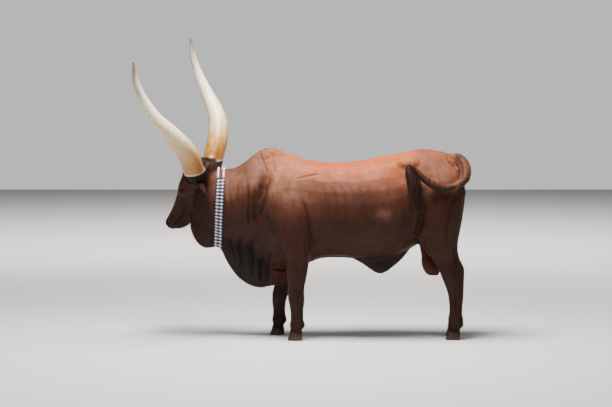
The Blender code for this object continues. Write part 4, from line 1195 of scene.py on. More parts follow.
# -------- skin
@dataclass
class Skin:
    """The one skin over all the flesh, lying a coat's depth inside the frame's nodes."""

    head: HeadFrame
    cell: float = 0.0060
    depth: float = 0.0022
    rounds: int = 70
    later_rounds: int = 4
    lid_thickness: float = 0.0026
    lid_reach: float = 0.040
    crown_sink: float = 0.022
    crown_radius: float = 0.055
    thing: Object = None

    def build(self) -> Object:
        """Makes the skin, sculpts it and keeps its markings.

        Returns:
            The skin.
        """
        self.thing = self.fuse(self.gather())
        self.relax(self.rounds)
        for inside in (self.on_face, self.on_detail):
            self.refine(inside)
            self.relax(self.later_rounds)
        self.sculpt()
        self.open_eyes()
        self.mark()
        return self.thing

    def gather(self) -> Object:
        """A copy of all the flesh nodes and the eyeballs in one mesh.

        Returns:
            The gathered object.
        """
        work = bmesh.new()
        for name in FLESH:
            work.from_mesh(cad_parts[name].data)
        for side in Side:
            gaze, slit, tall = self.head.eye_axes(side)
            turn = Matrix((gaze, slit, tall)).transposed().to_4x4()
            spot = Matrix.Translation(self.head.eye_centre(side)) @ turn
            radius = self.head.eye_radius + self.depth
            bmesh.ops.create_uvsphere(work, u_segments=24, v_segments=16, radius=radius, matrix=spot)
        mesh = bpy.data.meshes.new("skin")
        work.to_mesh(mesh)
        work.free()
        return link("skin", mesh)

    def fuse(self, thing: Object) -> Object:
        """The gathered flesh as one even closed mesh.

        Args:
            thing: the gathered flesh.

        Returns:
            The even object.
        """
        mesh = fused(thing, self.cell)
        work = bmesh.new()
        work.from_mesh(mesh)
        self.keep_outside(work)
        work.to_mesh(mesh)
        work.free()
        return link("skin", mesh)

    @staticmethod
    def keep_outside(work: BMesh) -> None:
        """Leaves only the largest joined surface.

        Args:
            work: the mesh.
        """
        left = set(work.verts)
        best = set()
        while left:
            seed = left.pop()
            group = {seed}
            edge = [seed]
            while edge:
                vertex = edge.pop()
                for link_edge in vertex.link_edges:
                    other = link_edge.other_vert(vertex)
                    if other in left:
                        left.discard(other)
                        group.add(other)
                        edge.append(other)
            if len(group) > len(best):
                best = group
        bmesh.ops.delete(work, geom=[v for v in work.verts if v not in best], context="VERTS")

    def relax(self, rounds: int) -> None:
        """Smooths the skin, least on the head, feet and tail.

        Args:
            rounds: how often.
        """
        points, _ = read_mesh(self.thing.data)
        soft = 1.0 - 0.72 * ease(-points[:, 0], 0.66, 0.74)
        soft = soft * (1.0 - 0.55 * ease(-points[:, 2], -0.55, -0.40))
        soft = soft * (1.0 - 0.5 * ease(points[:, 0], 1.10, 1.14))
        smooth(self.thing.data, rounds, (0.50, -0.52), soft)

    def on_face(self, spot: Vector) -> bool:
        """Whether the place is on the front part of the head.

        Args:
            spot: the place.

        Returns:
            Whether it is.
        """
        along, out, _ = self.head.axes()
        rel = spot - self.head.place
        return rel.dot(along) > 0.02 and rel.dot(out) > -0.13 and spot.x < -0.70

    def on_detail(self, spot: Vector) -> bool:
        """Whether the place is on the muzzle's end or close to an eye.

        Args:
            spot: the place.

        Returns:
            Whether it is.
        """
        along, out, _ = self.head.axes()
        rel = spot - self.head.place
        if rel.dot(along) > 0.455 and rel.dot(out) > -0.045:
            return True
        return any((spot - self.head.eye_centre(side)).length < 0.042 for side in Side)

    def refine(self, inside: object) -> None:
        """Doubles the mesh where a test of the place holds.

        Args:
            inside: the test.
        """
        work = bmesh.new()
        work.from_mesh(self.thing.data)
        chosen = {vertex for vertex in work.verts if inside(vertex.co)}
        edges = [edge for edge in work.edges if edge.verts[0] in chosen and edge.verts[1] in chosen]
        bmesh.ops.subdivide_edges(work, edges=edges, cuts=1, use_grid_fill=True)
        work.to_mesh(self.thing.data)
        work.free()

    def sculpt(self) -> None:
        """Sinks the skin by the coat's depth and adds muscles, bones, folds and ribs."""
        points, normals = read_mesh(self.thing.data)
        local = self.head.local(points)
        on_head = ease(local[:, 0], 0.0, 0.06) * ease(-points[:, 0], 0.66, 0.72)
        height = np.full(len(points), -self.depth)
        # crease: painted shade along the folds and the mouth's groove
        crease = np.zeros(len(points))
        folds, swells = leg_forms()
        for fold in BODY_FOLDS + RIBS + folds:
            rise, dark = fold.heights(points, normals)
            height += rise * (1 - on_head)
            crease = np.maximum(crease, dark * (1 - on_head))
        for swell in BODY_SWELLS + swells:
            height += swell.heights(points, normals) * (1 - on_head)
        for knob in HEAD_KNOBS:
            height += knob.heights(local) * on_head
        for side in Side:
            height += self.brow_lines(points, side) * on_head
        lips, dark = self.lips(local)
        height += lips * on_head
        crease = np.maximum(crease, dark * on_head)
        self.crease = crease
        from_crown = np.linalg.norm(points - self.crown, axis=1)
        height -= self.crown_sink * mound(from_crown, 0.0, self.crown_radius)
        height += self.tail_girth(points) + self.leg_girth(points, normals)
        points = points + normals * height[:, None]
        for side in Side:
            points = self.bare_horn(points, self.head.horn_root(side))
        self.nostrils = [self.nostril_frame(points, local, side) for side in Side]
        for centre, course, facing in self.nostrils:
            points = self.carve_nostril(points, centre, course, facing)
        write_mesh(self.thing.data, points)

    def between_horns(self, points: Array) -> Array:
        """How much of each place lies on the dark hair of the poll, from horn to horn.

        Args:
            points: places, one row each.

        Returns:
            Shares from 0 to 1.
        """
        heading, top, left = arrays(self.head.level_axes())
        rel = points - np.array(self.head.place)
        shape = np.abs((rel @ top - 0.060) / 0.082) ** 4 + np.abs(rel @ left / 0.185) ** 4
        return np.exp(-shape - np.abs((rel @ heading + 0.005) / 0.078) ** 4)

    @property
    def crown(self) -> Array:
        """The top of the poll, between the horns."""
        return np.array(self.head.place + self.head.level_axes()[1] * 0.085)

    @staticmethod
    def leg_girth(points: Array, normals: Array) -> Array:
        """Fills out the forearms, hocks, cannons and fetlocks, most before and behind.

        Args:
            points: places, one row each.
            normals: the surface's normals there.

        Returns:
            One height a place.
        """
        x, _, z = points.T
        fore = np.abs(x + 0.13) < 0.20
        hind = x > 0.86
        shown = ease(z, 0.080, 0.120) * ease(-z, -0.66, -0.50) * (fore | hind)
        deep = np.where(hind, 0.0110, 0.0085) - 0.003 * mound(z, 0.38, 0.05) * fore
        return shown * deep * (0.45 + 0.55 * ease(np.abs(normals[:, 0]), 0.1, 0.8))

    @staticmethod
    def tail_girth(points: Array) -> Array:
        """Thickens the end of the tail over the flank, and rings it with wrinkles.

        Args:
            points: places, one row each.

        Returns:
            One height a place.
        """
        x, y, z = points.T
        on_tail = ease(-y, 0.222, 0.240) * ease(x, 0.715, 0.745) * ease(z, 1.06, 1.08)
        on_tail = np.maximum(on_tail, ease(x, 1.130, 1.150) * ease(z, 1.04, 1.08))
        course = np.hypot(x - 0.95, z - 1.30)
        angle = np.arctan2(z - 1.30, x - 0.95)
        ring = np.sin(angle * 34 + 2.0 * np.sin(angle * 5) + course * 9)
        return on_tail * (0.0075 * ease(-x, -1.15, -0.80) + 0.0025 + 0.0005 * ring)

    @staticmethod
    def bare_horn(points: Array, root: HornRoot) -> Array:
        """Draws the hide in under the horn past the line where it ends.

        Args:
            points: places, one row each.
            root: the horn's root.

        Returns:
            The moved places.
        """
        travel, away, end = root.along(points)
        reach = np.linalg.norm(away, axis=1)
        near = (travel > 0) & (travel < 0.17) & (reach < 0.13)
        share = ease(travel, end - 0.006, end + 0.008) * near
        inner = np.minimum(reach, root.radius)
        scale = 1 + (inner / np.maximum(reach, 1e-6) - 1) * share
        return points + away * (scale - 1)[:, None]

    def nostril_frame(self, points: Array, local: Array, side: Side) -> tuple:
        """The centre of one nostril, the way that it runs and the way that it faces.

        Args:
            points: places, one row each.
            local: the same places in the head's own directions.
            side: which side of the bull.

        Returns:
            A place and two directions.
        """
        along, out, left = arrays(self.head.axes())
        away = np.hypot(local[:, 0] - 0.514, local[:, 1] - 0.060) + (local[:, 2] * side.value < 0.02)
        centre = points[np.argsort(away)[:40]].mean(axis=0)
        facing = unit(left * side.value * 0.75 + along * 0.60 + out * 0.28)
        course = out * 0.75 - along * 0.50 + left * side.value * 0.10
        course = unit(course - facing * course.dot(facing))
        return centre, course, facing

    @staticmethod
    def carve_nostril(points: Array, centre: Array, course: Array, facing: Array) -> Array:
        """Sinks a comma-shaped nostril with a raised wing round it.

        Args:
            points: places, one row each.
            centre: the nostril's middle.
            course: the way that it runs.
            facing: the way that it faces.

        Returns:
            The moved places.
        """
        other = np.cross(facing, course)
        rel = points - centre
        long = rel @ course / 0.0200
        wide = rel @ other / 0.0088 + 0.45 * long * long - 0.2
        reach = np.hypot(long, wide)
        near = ease(np.linalg.norm(rel, axis=1), 0.050, 0.036)
        depth = -0.0130 * mound(reach, 0.0, 0.95, 6) + 0.0050 * mound(reach, 1.5, 0.40)
        return points + np.outer(depth * near, facing)

    def brow_lines(self, points: Array, side: Side) -> Array:
        """Fine wrinkles of skin that ring one eye, deepest above it.

        Args:
            points: places, one row each.
            side: which side of the bull.

        Returns:
            One height a place.
        """
        _, slit, tall = arrays(self.head.eye_axes(side))
        rel = points - np.array(self.head.eye_centre(side))
        u = rel @ slit / 1.25
        v = rel @ tall
        reach = np.hypot(u, v)
        near = (np.linalg.norm(rel, axis=1) < 0.075) * ease(reach, 0.017, 0.022) * ease(reach, 0.050, 0.034)
        above = 0.55 + 0.45 * ease(v, -0.010, 0.012)
        return 0.0011 * near * above * np.cos(reach * 2 * math.pi / 0.0074)

    @staticmethod
    def lips(local: Array) -> tuple:
        """The mouth's groove and the roll of both lips.

        Args:
            local: places in the head's own directions.

        Returns:
            Heights, and shares of painted shade in the groove.
        """
        best = np.abs(by_line(np.array(MOUTH), local[:, :2])[0])
        far = ease(local[:, 0], 0.392, 0.412)
        rise = 0.0022 * mound(best, 0.009, 0.006) - 0.0050 * mound(best, 0.0, 0.0034)
        return far * rise, far * mound(best, 0.0, 0.0030)

    def open_eyes(self) -> None:
        """Shapes the lids over each eyeball and opens them."""
        points, _ = read_mesh(self.thing.data)
        for side in Side:
            gaze, slit, tall = arrays(self.head.eye_axes(side))
            centre = np.array(self.head.eye_centre(side))
            rel = points - centre
            reach = np.linalg.norm(rel, axis=1)
            near = (reach < self.lid_reach) & (rel @ gaze > -0.004)
            radius = self.head.eye_radius + self.lid_thickness
            grown = np.where(near & (reach < radius), radius, reach)
            opened = near & (np.abs(rel @ tall) < self.head.slit_edge(rel @ slit))
            grown = np.where(opened, self.head.eye_radius - 0.004, grown)
            scale = grown / np.maximum(reach, 1e-6)
            points = np.where(near[:, None], centre + rel * scale[:, None], points)
        write_mesh(self.thing.data, points)

    def mark(self) -> None:
        """Keeps the coat's markings, painted light and shade among them, on the mesh."""
        for name, values in self.markings(*read_mesh(self.thing.data)).items():
            store(self.thing.data, name, values)
        self.thing.data.shade_smooth()

    def markings(self, points: Array, normals: Array) -> dict:
        """The strength of each marking at each place, painted light and shade among them.

        Args:
            points: places, one row each.
            normals: the surface's normals there.

        Returns:
            Shares from 0 to 1 by the marking's name.
        """
        x, y, z = points.T
        local = self.head.local(points)
        head = self.head.share(x, local)
        side = np.abs(normals[:, 1])
        # top: how much the hide faces up, used for the painted sunlight and sheen
        top = ease(normals[:, 2], 0.10, 0.85)
        leg = ease(-z, -0.60, -0.42)
        # edge waves the line where the painted shade of the lower half starts and the painted sheen above it
        # ends
        edge = 0.030 * np.sin(x * 9.0 + 1.0) + 0.020 * np.sin(x * 23.0 + z * 7.0)
        edge = edge + 0.085 * mound(x, -0.10, 0.11)
        # low: painted shade over the lower half of the body; the legs, face and poll are darker in their own
        # colour
        low = ease(-z - edge, -1.13, -0.86)
        deep = np.clip(0.04 + 0.80 * low + 0.45 * leg + 0.95 * head, 0, 1)
        # darker low on the neck, partly its own colour, partly painted shade
        deep = np.maximum(deep, 0.55 * ease(-x, 0.38, 0.60) * ease(-z, -1.10, -0.90))
        # painted shadow of the tail's switch on the front of the thigh
        deep = np.maximum(deep, 0.68 * ease(x, 0.79, 0.88) * ease(-z - 0.5 * edge, -1.17, -1.00))
        # painted shade in the hollow before the shoulder blade
        hollow = mound(x - 0.19 * (z - 1.10), -0.318, 0.034) * mound(z, 1.11, 0.15) * side
        deep = np.maximum(deep, hollow)
        # painted sunlight: orange on the back and upper sides, more where the hide faces up
        tan = ease(z, 1.06, 1.26) * (0.55 + 0.45 * top) * (1 - head) * ease(x, -0.45, -0.05)
        # pale: a painted sheen of the light from above on the upper neck, shoulder, hump and rump, partly
        # dust
        pale = 0.12 + 0.46 * ease(-x, -0.06, 0.08) + 0.34 * ease(x, 0.72, 0.84)
        pale = pale * (1 - 0.55 * top) - 0.14 * ease(-x, 0.34, 0.44)
        pale = pale * ease(z + edge, 1.00, 1.15) * (1 - head) * (1 - 0.9 * hollow)
        # a painted pool of light on the swell low on the flank
        worn = mound(x + 0.4 * (z - 0.905), 0.575, 0.060) * mound(z, 0.905, 0.045) * side
        pale = np.maximum(pale, 0.30 * worn)
        tan = tan * (1 - 0.7 * ease(x, 0.75, 0.86))
        rufous = mound(x, -0.19, 0.085) * mound(z, 0.50, 0.085) * 0.6
        scrotum = ease(-np.abs(x - 0.92), -0.09, -0.06) * ease(-z, -0.72, -0.66)
        rufous = np.maximum(rufous, 0.8 * scrotum * (np.abs(y - MIDDLE_Y) < 0.085))
        for eye_side in Side:
            away = np.linalg.norm(points - np.array(self.head.eye_centre(eye_side)), axis=1)
            rufous = np.maximum(rufous, 0.55 * mound(away, 0.0, 0.060))
        rufous = np.maximum(rufous, 0.5 * mound(x, 0.80, 0.06) * mound(z, 0.66, 0.06) * (1 - side))
        slate = ease(-z, -0.80, -0.62) * ease(-x, 0.20, 0.34) * ease(x, -0.75, -0.64) * 0.85
        crown = self.between_horns(points)
        deep = np.maximum(deep, crown)
        slate = np.maximum(slate, 0.6 * crown)
        pale = pale * (1 - crown)
        tan = tan * (1 - crown)
        # painted shade: slate-dark under the belly
        slate = np.maximum(slate, 0.7 * ease(-z, -0.66, -0.58) * ease(x, 0.10, 0.30) * ease(-x, -0.84, -0.74))
        tail = ease(x, 1.085, 1.125) * ease(z, 1.0, 1.1) + (y < -0.245) * ease(x, 0.72, 0.76) * (z > 1.0)
        tail = np.clip(tail, 0, 1)
        # painted shade on the tail's underside; the tail's own colour is greyer
        below = ease(-normals[:, 2], -0.30, 0.50)
        slate = np.maximum(slate, (0.50 + 0.40 * below) * tail)
        bare = ease(local[:, 0], 0.492, 0.520) * head * ease(local[:, 1], -0.03, 0.02)
        # the nostrils' openings are darkened as painted shade, kept with the creases
        nostril = np.zeros(len(points))
        for centre, course, _ in self.nostrils:
            rel = points - centre
            long = rel @ course
            wide = np.linalg.norm(rel - np.outer(long, course), axis=1)
            nostril = np.maximum(nostril, ease(-np.hypot(long / 0.020, wide / 0.0125), -1.10, -0.70))
        wrinkled = ease(-x, 0.10, 0.30) * ease(x, -0.66, -0.58) * (0.25 + 0.75 * ease(-z, -1.20, -1.00))
        pale = pale * (1 - 0.6 * tail)
        crease = np.maximum(self.crease, nostril)
        dusty = (0.3 + 0.7 * ease(side, 0.2, 0.8)) * (1 - head)
        wrinkled = np.maximum(wrinkled * side, 0.4 * tail) * (1 - head)
        values = (deep, tan, pale, rufous, slate, bare, crease, dusty, wrinkled)
        return {name: np.clip(value, 0, 1) for name, value in zip(MARKS, values)}


# -------- refined copies of single nodes
def fused_copy(name: str, cell: float, rounds: int) -> tuple:
    """A frame node as an even, smoothed mesh.

    Args:
        name: the frame's node.
        cell: the size of its faces.
        rounds: how often it is smoothed.

    Returns:
        Places, normals and quads.
    """
    mesh = fused(link("fused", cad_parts[name].data.copy()), cell)
    quads = np.array([face.vertices[:] for face in mesh.polygons if len(face.vertices) == 4], np.int32)
    smooth(mesh, rounds, (0.50, -0.51))
    points, normals = read_mesh(mesh)
    bpy.data.meshes.remove(mesh)
    return points, normals, quads


@dataclass(frozen=True)
class Foot:
    """The two claws and two dew claws of one foot, with their growth rings."""

    pair: str
    side: Side
    cell: float = 0.0030
    rounds: int = 14
    ring: float = 0.0065
    wave: float = 0.0004

    def build(self) -> Object:
        """The foot's claws as one dressed piece.

        Returns:
            The piece.
        """
        word = self.side.word
        nodes = [f"{self.pair}{kind}_{word}_{end}" for kind in ("claw", "dewclaw") for end in "ab"]
        parts = []
        for name in nodes:
            points, normals, quads = fused_copy(name, self.cell, self.rounds)
            height = points[:, 2] - 0.15 * (points[:, 0] - points[:, 0].mean())
            swell = self.wave * np.sin(height * 2 * math.pi / self.ring)
            points = points + normals * (swell * ease(points[:, 2], 0.004, 0.012))[:, None]
            points[:, 2] = np.maximum(points[:, 2], 0.0)
            parts.append((points, quads))
        piece = mesh_object(f"claws_{self.pair}_{word}", *join_parts(parts))
        return settle(piece, HoofFinish(), Slot.HOOF, *nodes)


# -------- horns
@dataclass(frozen=True)
class Horn:
    """One great horn: its path in the level head's forward, up and side, and its radii."""

    side: Side
    head: HeadFrame
    path: tuple = (
        (0.0060, -0.0450, 0.0950, 0.078),
        (0.0053, 0.0149, 0.1703, 0.079),
        (-0.0084, 0.1294, 0.2506, 0.079),
        (0.0049, 0.2350, 0.3340, 0.074),
        (0.0545, 0.3445, 0.3990, 0.063),
        (0.1256, 0.4574, 0.4513, 0.049),
        (0.1893, 0.5887, 0.4789, 0.036),
        (0.2325, 0.7298, 0.4931, 0.025),
        (0.2394, 0.8851, 0.4914, 0.006),
    )
    sides: int = 44
    steps: int = 34
    flat: float = 0.96
    ring: float = 0.021

    def build(self) -> Object:
        """The dressed horn, with growth rings that fade towards its tip.

        Returns:
            The piece.
        """
        heading, top, left = arrays(self.head.level_axes())
        place = np.array(self.head.place)
        rows = curve_rows(self.path, self.steps)
        sense = self.side.value
        centres = place + np.outer(rows[:, 0], heading) + np.outer(rows[:, 1], top)
        centres = centres + np.outer(rows[:, 2] * sense, left)
        travel = travelled(centres)
        share = travel / travel[-1]
        turn = np.arange(self.sides) * 2 * math.pi / self.sides
        phase = travel[:, None] / self.ring * (1 + 0.25 * np.sin(travel * 3.1))[:, None] * 2 * math.pi
        sway = 0.7 * np.sin(2 * turn + 0.8)[None, :] + 0.5 * np.sin(3 * turn + travel[:, None] * 9)
        waves = np.sin(phase + sway) * ((1 - ease(share, 0.05, 0.55)) * ease(travel, 0.07, 0.13))[:, None]
        lumps = np.sin(travel[:, None] * 11 + 2 * turn) * np.sin(travel[:, None] * 5 + turn + 1)
        radii = rows[:, 3:4] * (0.985 + 0.006 * waves + 0.009 * lumps)
        radii[-1] = 0.0004
        points, quads = sweep(centres, radii, self.sides, self.flat)
        piece = mesh_object(f"horn_shell_{self.side.word}", points, quads)
        around = np.tile(turn, len(centres))
        length = np.repeat(travel, self.sides)
        grain = np.stack([np.cos(around), np.sin(around), length * 12], 1)
        store(piece.data, "along", np.repeat(share, self.sides))
        store(piece.data, "grain", grain)
        radial = unit(points - np.repeat(centres, self.sides, axis=0))
        # under: how much the horn faces down, painted darker as shade
        store(piece.data, "under", ease(-radial[:, 2], -0.35, 0.45))
        travel_out, _, end = self.head.horn_root(self.side).along(points)
        young = np.repeat(share, self.sides) < 0.3
        store(piece.data, "rim", mound(travel_out - end, 0.007, 0.007) * young)
        store(piece.data, "covered", ease(-travel_out, -end - 0.002, -end + 0.002) * young)
        return settle(piece, HornFinish(), Slot.HORN, f"horn_{self.side.word}")


# -------- ears
@dataclass(frozen=True)
class Ear:
    """A cupped leaf that hangs to the side: stations of share, width, cup and thickness."""

    side: Side
    head: HeadFrame
    root: tuple = (0.072, -0.052, 0.094)
    length: float = 0.215
    half_width: float = 0.054
    stations: tuple = (
        (-0.10, 0.40, 0.78, 0.0050),
        (0.00, 0.42, 0.75, 0.0050),
        (0.12, 0.50, 0.70, 0.0048),
        (0.28, 0.80, 0.56, 0.0042),
        (0.45, 0.98, 0.46, 0.0038),
        (0.62, 0.96, 0.38, 0.0034),
        (0.78, 0.74, 0.30, 0.0030),
        (0.91, 0.42, 0.20, 0.0026),
        (1.00, 0.05, 0.03, 0.0008),
    )
    columns: int = 22

    def axes(self) -> tuple:
        """Outward, backward and cross directions.

        Returns:
            Three directions.
        """
        fore = Vector((-1, 0, 0))
        left = Vector((0, -1, 0))
        out = (left * self.side.value * 0.90 - fore * 0.20 - UP * 0.36).normalized()
        back = -fore * 0.80 + UP * 0.50
        back = (back - out * back.dot(out)).normalized()
        return out, back, out.cross(back)

    def build(self) -> Object:
        """The dressed ear, with ribs inside the cup.

        Returns:
            The piece.
        """
        out, back, wide = arrays(self.axes())
        base = np.array(self.head.point(self.root[0], self.root[1], self.side.value * self.root[2]))
        outer = np.linspace(-1, 1, self.columns)
        loop = np.concatenate([outer, outer[-2:0:-1]])
        sense = np.concatenate([np.ones(self.columns), -np.ones(self.columns - 2)])
        rings = []
        inside = []
        for t, width, cup, thick in curve_rows(self.stations, 7):
            centre = base + out * (self.length * t) - back * (0.020 * t * t - 0.012)
            half = self.half_width * width
            wall = thick * sense * np.sqrt(np.maximum(0.0, 1 - loop**2))
            rib = 0.0009 * np.cos(loop * 9.5) * (sense < 0) * max(0.0, 1 - abs(2 * t - 0.9))
            depth = (1 - loop**2) * cup * half - cup * half + wall + rib
            rings.append(centre + np.outer(half * loop, wide) + np.outer(depth, back))
            inside.append((sense < 0) * ease(1 - np.abs(loop), 0.02, 0.35) * ease(t, 1.0, 0.6))
        points = np.concatenate(rings)
        cup_share = np.concatenate(inside)
        piece = mesh_object(f"ear_skin_{self.side.word}", points, tube_grid(len(rings), len(loop)))
        along = np.repeat(np.linspace(0, 1, len(rings)), len(loop))
        # painted shade deep in the ear's cup
        crease = 0.8 * cup_share * ease(along, 0.55, 0.10)
        store_marks(piece.data, deep=0.80 + 0.15 * along, rufous=0.2 * (1 - cup_share), slate=0.35 * along,
                    bare=0.75 * cup_share, crease=crease, dusty=0.3)
        return settle(piece, HideFinish(), Slot.HIDE, f"ear_{self.side.word}")


# -------- eyes
@dataclass(frozen=True)
class Eye:
    """One eyeball with its lid rims and lashes."""

    side: Side
    head: HeadFrame
    iris: float = 0.0135
    pupil: tuple = (0.0078, 0.0046)
    rim: float = 0.0027

    def build(self) -> None:
        """The dressed eyeball, rims and lashes."""
        word = self.side.word
        settle(self.ball(f"eyeball_{word}"), EyeFinish(), Slot.EYE, f"eye_{word}")
        settle(self.rims(f"lid_rims_{word}"), HideFinish(), Slot.HIDE)
        settle(self.lashes(f"lashes_{word}"), HairFinish(), Slot.SWITCH)

    def frame(self) -> tuple:
        """The eye's centre and its gaze, slit and height axes, as arrays."""
        return np.array(self.head.eye_centre(self.side)), *arrays(self.head.eye_axes(self.side))

    def ball(self, name: str) -> Object:
        """A ball with its pole at the pupil and a slight bulge over the iris.

        Args:
            name: the piece's name.

        Returns:
            The piece.
        """
        centre, gaze, slit, tall = self.frame()
        count = 64
        turn = np.arange(count) * 2 * math.pi / count
        rings = []
        marks = []
        for angle in np.concatenate([np.linspace(0.004, 1.0, 34), np.linspace(1.08, 3.13, 18)]):
            radius = self.head.eye_radius + 0.0008 * max(0.0, 1 - (angle / 0.62) ** 2)
            u = radius * math.sin(angle) * np.cos(turn)
            v = radius * math.sin(angle) * np.sin(turn)
            rings.append(centre + np.outer(u, slit) + np.outer(v, tall) + gaze * radius * math.cos(angle))
            reach = math.sin(angle) * self.head.eye_radius
            pupil = (u / self.pupil[0]) ** 2 + (v / self.pupil[1]) ** 2 < 1
            marks.append(np.where(pupil & (angle < 1.0), 0.2, max(0.37, reach / self.iris * 0.66)))
        piece = mesh_object(name, np.concatenate(rings), tube_grid(len(rings), count))
        store(piece.data, "ring", np.clip(np.concatenate(marks), 0, 1))
        return piece

    def outline(self, u: float, sense: int, lift: float) -> Array:
        """A place on the lid's edge, that far out from the ball.

        Args:
            u: how far along the slit.
            sense: 1 for the upper lid, -1 for the lower.
            lift: how far out from the ball.

        Returns:
            The place.
        """
        centre, gaze, slit, tall = self.frame()
        v = sense * self.head.slit_edge(u)
        radius = self.head.eye_radius + lift
        w = math.sqrt(max(radius**2 - u * u - v * v, 0.0))
        return centre + slit * u + tall * v + gaze * w

    def rims(self, name: str) -> Object:
        """Rolled edges of the upper and lower lid.

        Args:
            name: the piece's name.

        Returns:
            The piece.
        """
        parts = []
        for sense, size in ((1, 1.15), (-1, 0.9)):
            shares = np.sin(np.linspace(-math.pi / 2, math.pi / 2, 36))
            centres = np.array([self.outline(s * self.head.slit_half * 1.02, sense, 0.0013) for s in shares])
            radii = self.rim * size * (0.30 + 0.70 * np.sqrt(np.maximum(0, 1 - shares**2)))
            radii[0] = radii[-1] = 0.0003
            parts.append(sweep(centres, radii, 12))
        piece = mesh_object(name, *join_parts(parts))
        store_marks(piece.data, deep=1.0, bare=0.9)
        return piece

    def lashes(self, name: str) -> Object:
        """Short curved lashes, longer above than below.

        Args:
            name: the piece's name.

        Returns:
            The piece.
        """
        rng = np.random.default_rng(SEED + self.side.value)
        _, gaze, slit, tall = self.frame()
        parts = []
        for sense, count, length in ((1, 46, 0.015), (-1, 22, 0.008)):
            for share in np.linspace(-0.86, 0.86, count):
                start = self.outline(share * self.head.slit_half, sense, 0.0026)
                push = gaze * 0.95 + tall * sense * 0.25 + slit * (0.45 * share + rng.normal(0, 0.08))
                size = length * rng.uniform(0.8, 1.15) * (1 - 0.35 * share * share)
                t = np.linspace(0, 1, 5)
                curl = tall * (0.5 if sense > 0 else -1)
                line = start + np.outer(t * size, push) + np.outer(t * t * size * 0.30, curl)
                parts.append(sweep(line, np.array([0.32, 0.28, 0.22, 0.14, 0.03]) * 0.001, 4))
        piece = mesh_object(name, *join_parts(parts))
        store(piece.data, "shade", np.zeros(len(piece.data.vertices)))
        return piece


# -------- tail hair
@dataclass(frozen=True)
class Switch:
    """The tail's switch of long tapered locks and loose hairs, hanging clear of the thigh."""

    path: tuple = (
        (0.742, 1.284, 0.004), (0.735, 1.266, 0.012), (0.738, 1.244, 0.022), (0.748, 1.215, 0.034),
        (0.768, 1.167, 0.045), (0.780, 1.117, 0.049), (0.788, 1.060, 0.046), (0.794, 1.000, 0.041),
        (0.797, 0.950, 0.033), (0.798, 0.902, 0.024),
    )
    level: float = -0.292
    locks: int = 320
    hairs: int = 700
    clear: float = 0.006

    def build(self, skin: BVHTree) -> Object:
        """The dressed switch.

        Args:
            skin: the hide's surface, which the hair stays clear of.

        Returns:
            The piece.
        """
        rng = np.random.default_rng(SEED)
        rows = curve_rows(self.path, 12)
        parts = []
        shades = []
        for index in range(self.locks + self.hairs):
            fine = index >= self.locks
            line, radii = self.strand(rng, rows, fine, skin)
            part = sweep(line, radii, 3 if fine else 5, 1.0 if fine else 0.6, (0, 1, 0))
            parts.append(part)
            shades.append(np.full(len(part[0]), rng.uniform(0, 1)))
        piece = mesh_object("switch_locks", *join_parts(parts))
        store(piece.data, "shade", np.concatenate(shades))
        return settle(piece, HairFinish(), Slot.SWITCH, "tail_switch")

    def strand(self, rng: Generator, rows: Array, fine: bool, skin: BVHTree) -> tuple:
        """One lock or hair.

        Args:
            rng: the source of chance.
            rows: the switch's middle line as x, z and spread.
            fine: whether it is a single hair.
            skin: the hide's surface.

        Returns:
            Its line and radii.
        """
        count = 15
        start = rng.uniform(0.0, 0.30)
        end = rng.uniform(0.8 if fine else 0.7, 1.0)
        turn = rng.uniform(0, 2 * math.pi)
        away = math.sqrt(rng.uniform(0.02, 1.0)) * (1.12 if fine else 1.0)
        sway = rng.uniform(0.002, 0.009)
        away = away * rng.uniform(0.80, 1.22)
        phase = rng.uniform(0, 6.3)
        line = []
        for step in range(count):
            t = start + (end - start) * step / (count - 1)
            x, z, spread = rows[min(int(t * (len(rows) - 1)), len(rows) - 1)]
            wave = sway * math.sin(phase + t * 9) * t
            x += math.cos(turn) * away * spread * 0.95 + wave
            y = self.level + math.sin(turn) * away * spread * 0.75
            spot = Vector((x + SHIFT.x, y + SHIFT.y, z))
            hit = skin.ray_cast(Vector((spot.x, -1.0, spot.z)), Vector((0, 1, 0)))[0]
            if hit is not None:
                spot.y = min(spot.y, hit.y - self.clear)
            line.append(spot[:])
        line = np.array(line)
        soften(line, 3)
        taper = np.linspace(0, 1, count)
        thick = rng.uniform(0.0005, 0.0009) if fine else rng.uniform(0.0026, 0.0046)
        radii = thick * np.minimum(1, 0.45 + 3.0 * taper) * np.maximum(0.05, 1 - taper**1.7)
        return line, radii


# -------- collar
BEAD_POINTS = 14  # the points of one bead: two rings of six and two poles


@dataclass(frozen=True)
class BeadShape:
    """A small barrel: points on a unit ball and its faces."""

    sides: int = 6

    def mesh(self) -> tuple:
        """Places on the unit ball and triangles.

        Returns:
            Places and triangles.
        """
        rows = [(0.0, 0.0, 1.0)]
        for height in (0.42, -0.42):
            wide = math.sqrt(1 - height * height)
            for index in range(self.sides):
                turn = (index + (0.5 if height < 0 else 0.0)) * 2 * math.pi / self.sides
                rows.append((wide * math.cos(turn), wide * math.sin(turn), height))
        rows.append((0.0, 0.0, -1.0))
        last = len(rows) - 1
        faces = []
        for index in range(self.sides):
            after = (index + 1) % self.sides
            upper, upper_next = 1 + index, 1 + after
            lower, lower_next = 1 + self.sides + index, 1 + self.sides + after
            faces.append((0, upper, upper_next))
            faces.append((upper, lower, upper_next))
            faces.append((upper_next, lower, lower_next))
            faces.append((last, lower_next, lower))
        return np.array(rows), np.array(faces)

    def place(self, centres: Array, axes: Array, sizes: tuple) -> tuple:
        """Many beads.

        Args:
            centres: one place a bead.
            axes: three directions a bead.
            sizes: the three radii along them.

        Returns:
            Places and triangles.
        """
        unit_points, unit_faces = self.mesh()
        scaled = unit_points * np.array(sizes)
        points = centres[:, None, :] + np.einsum("pk,bkc->bpc", scaled, axes)
        first = np.arange(len(centres))[:, None, None] * len(unit_points)
        return points.reshape(-1, 3), (unit_faces[None] + first).reshape(-1, 3)


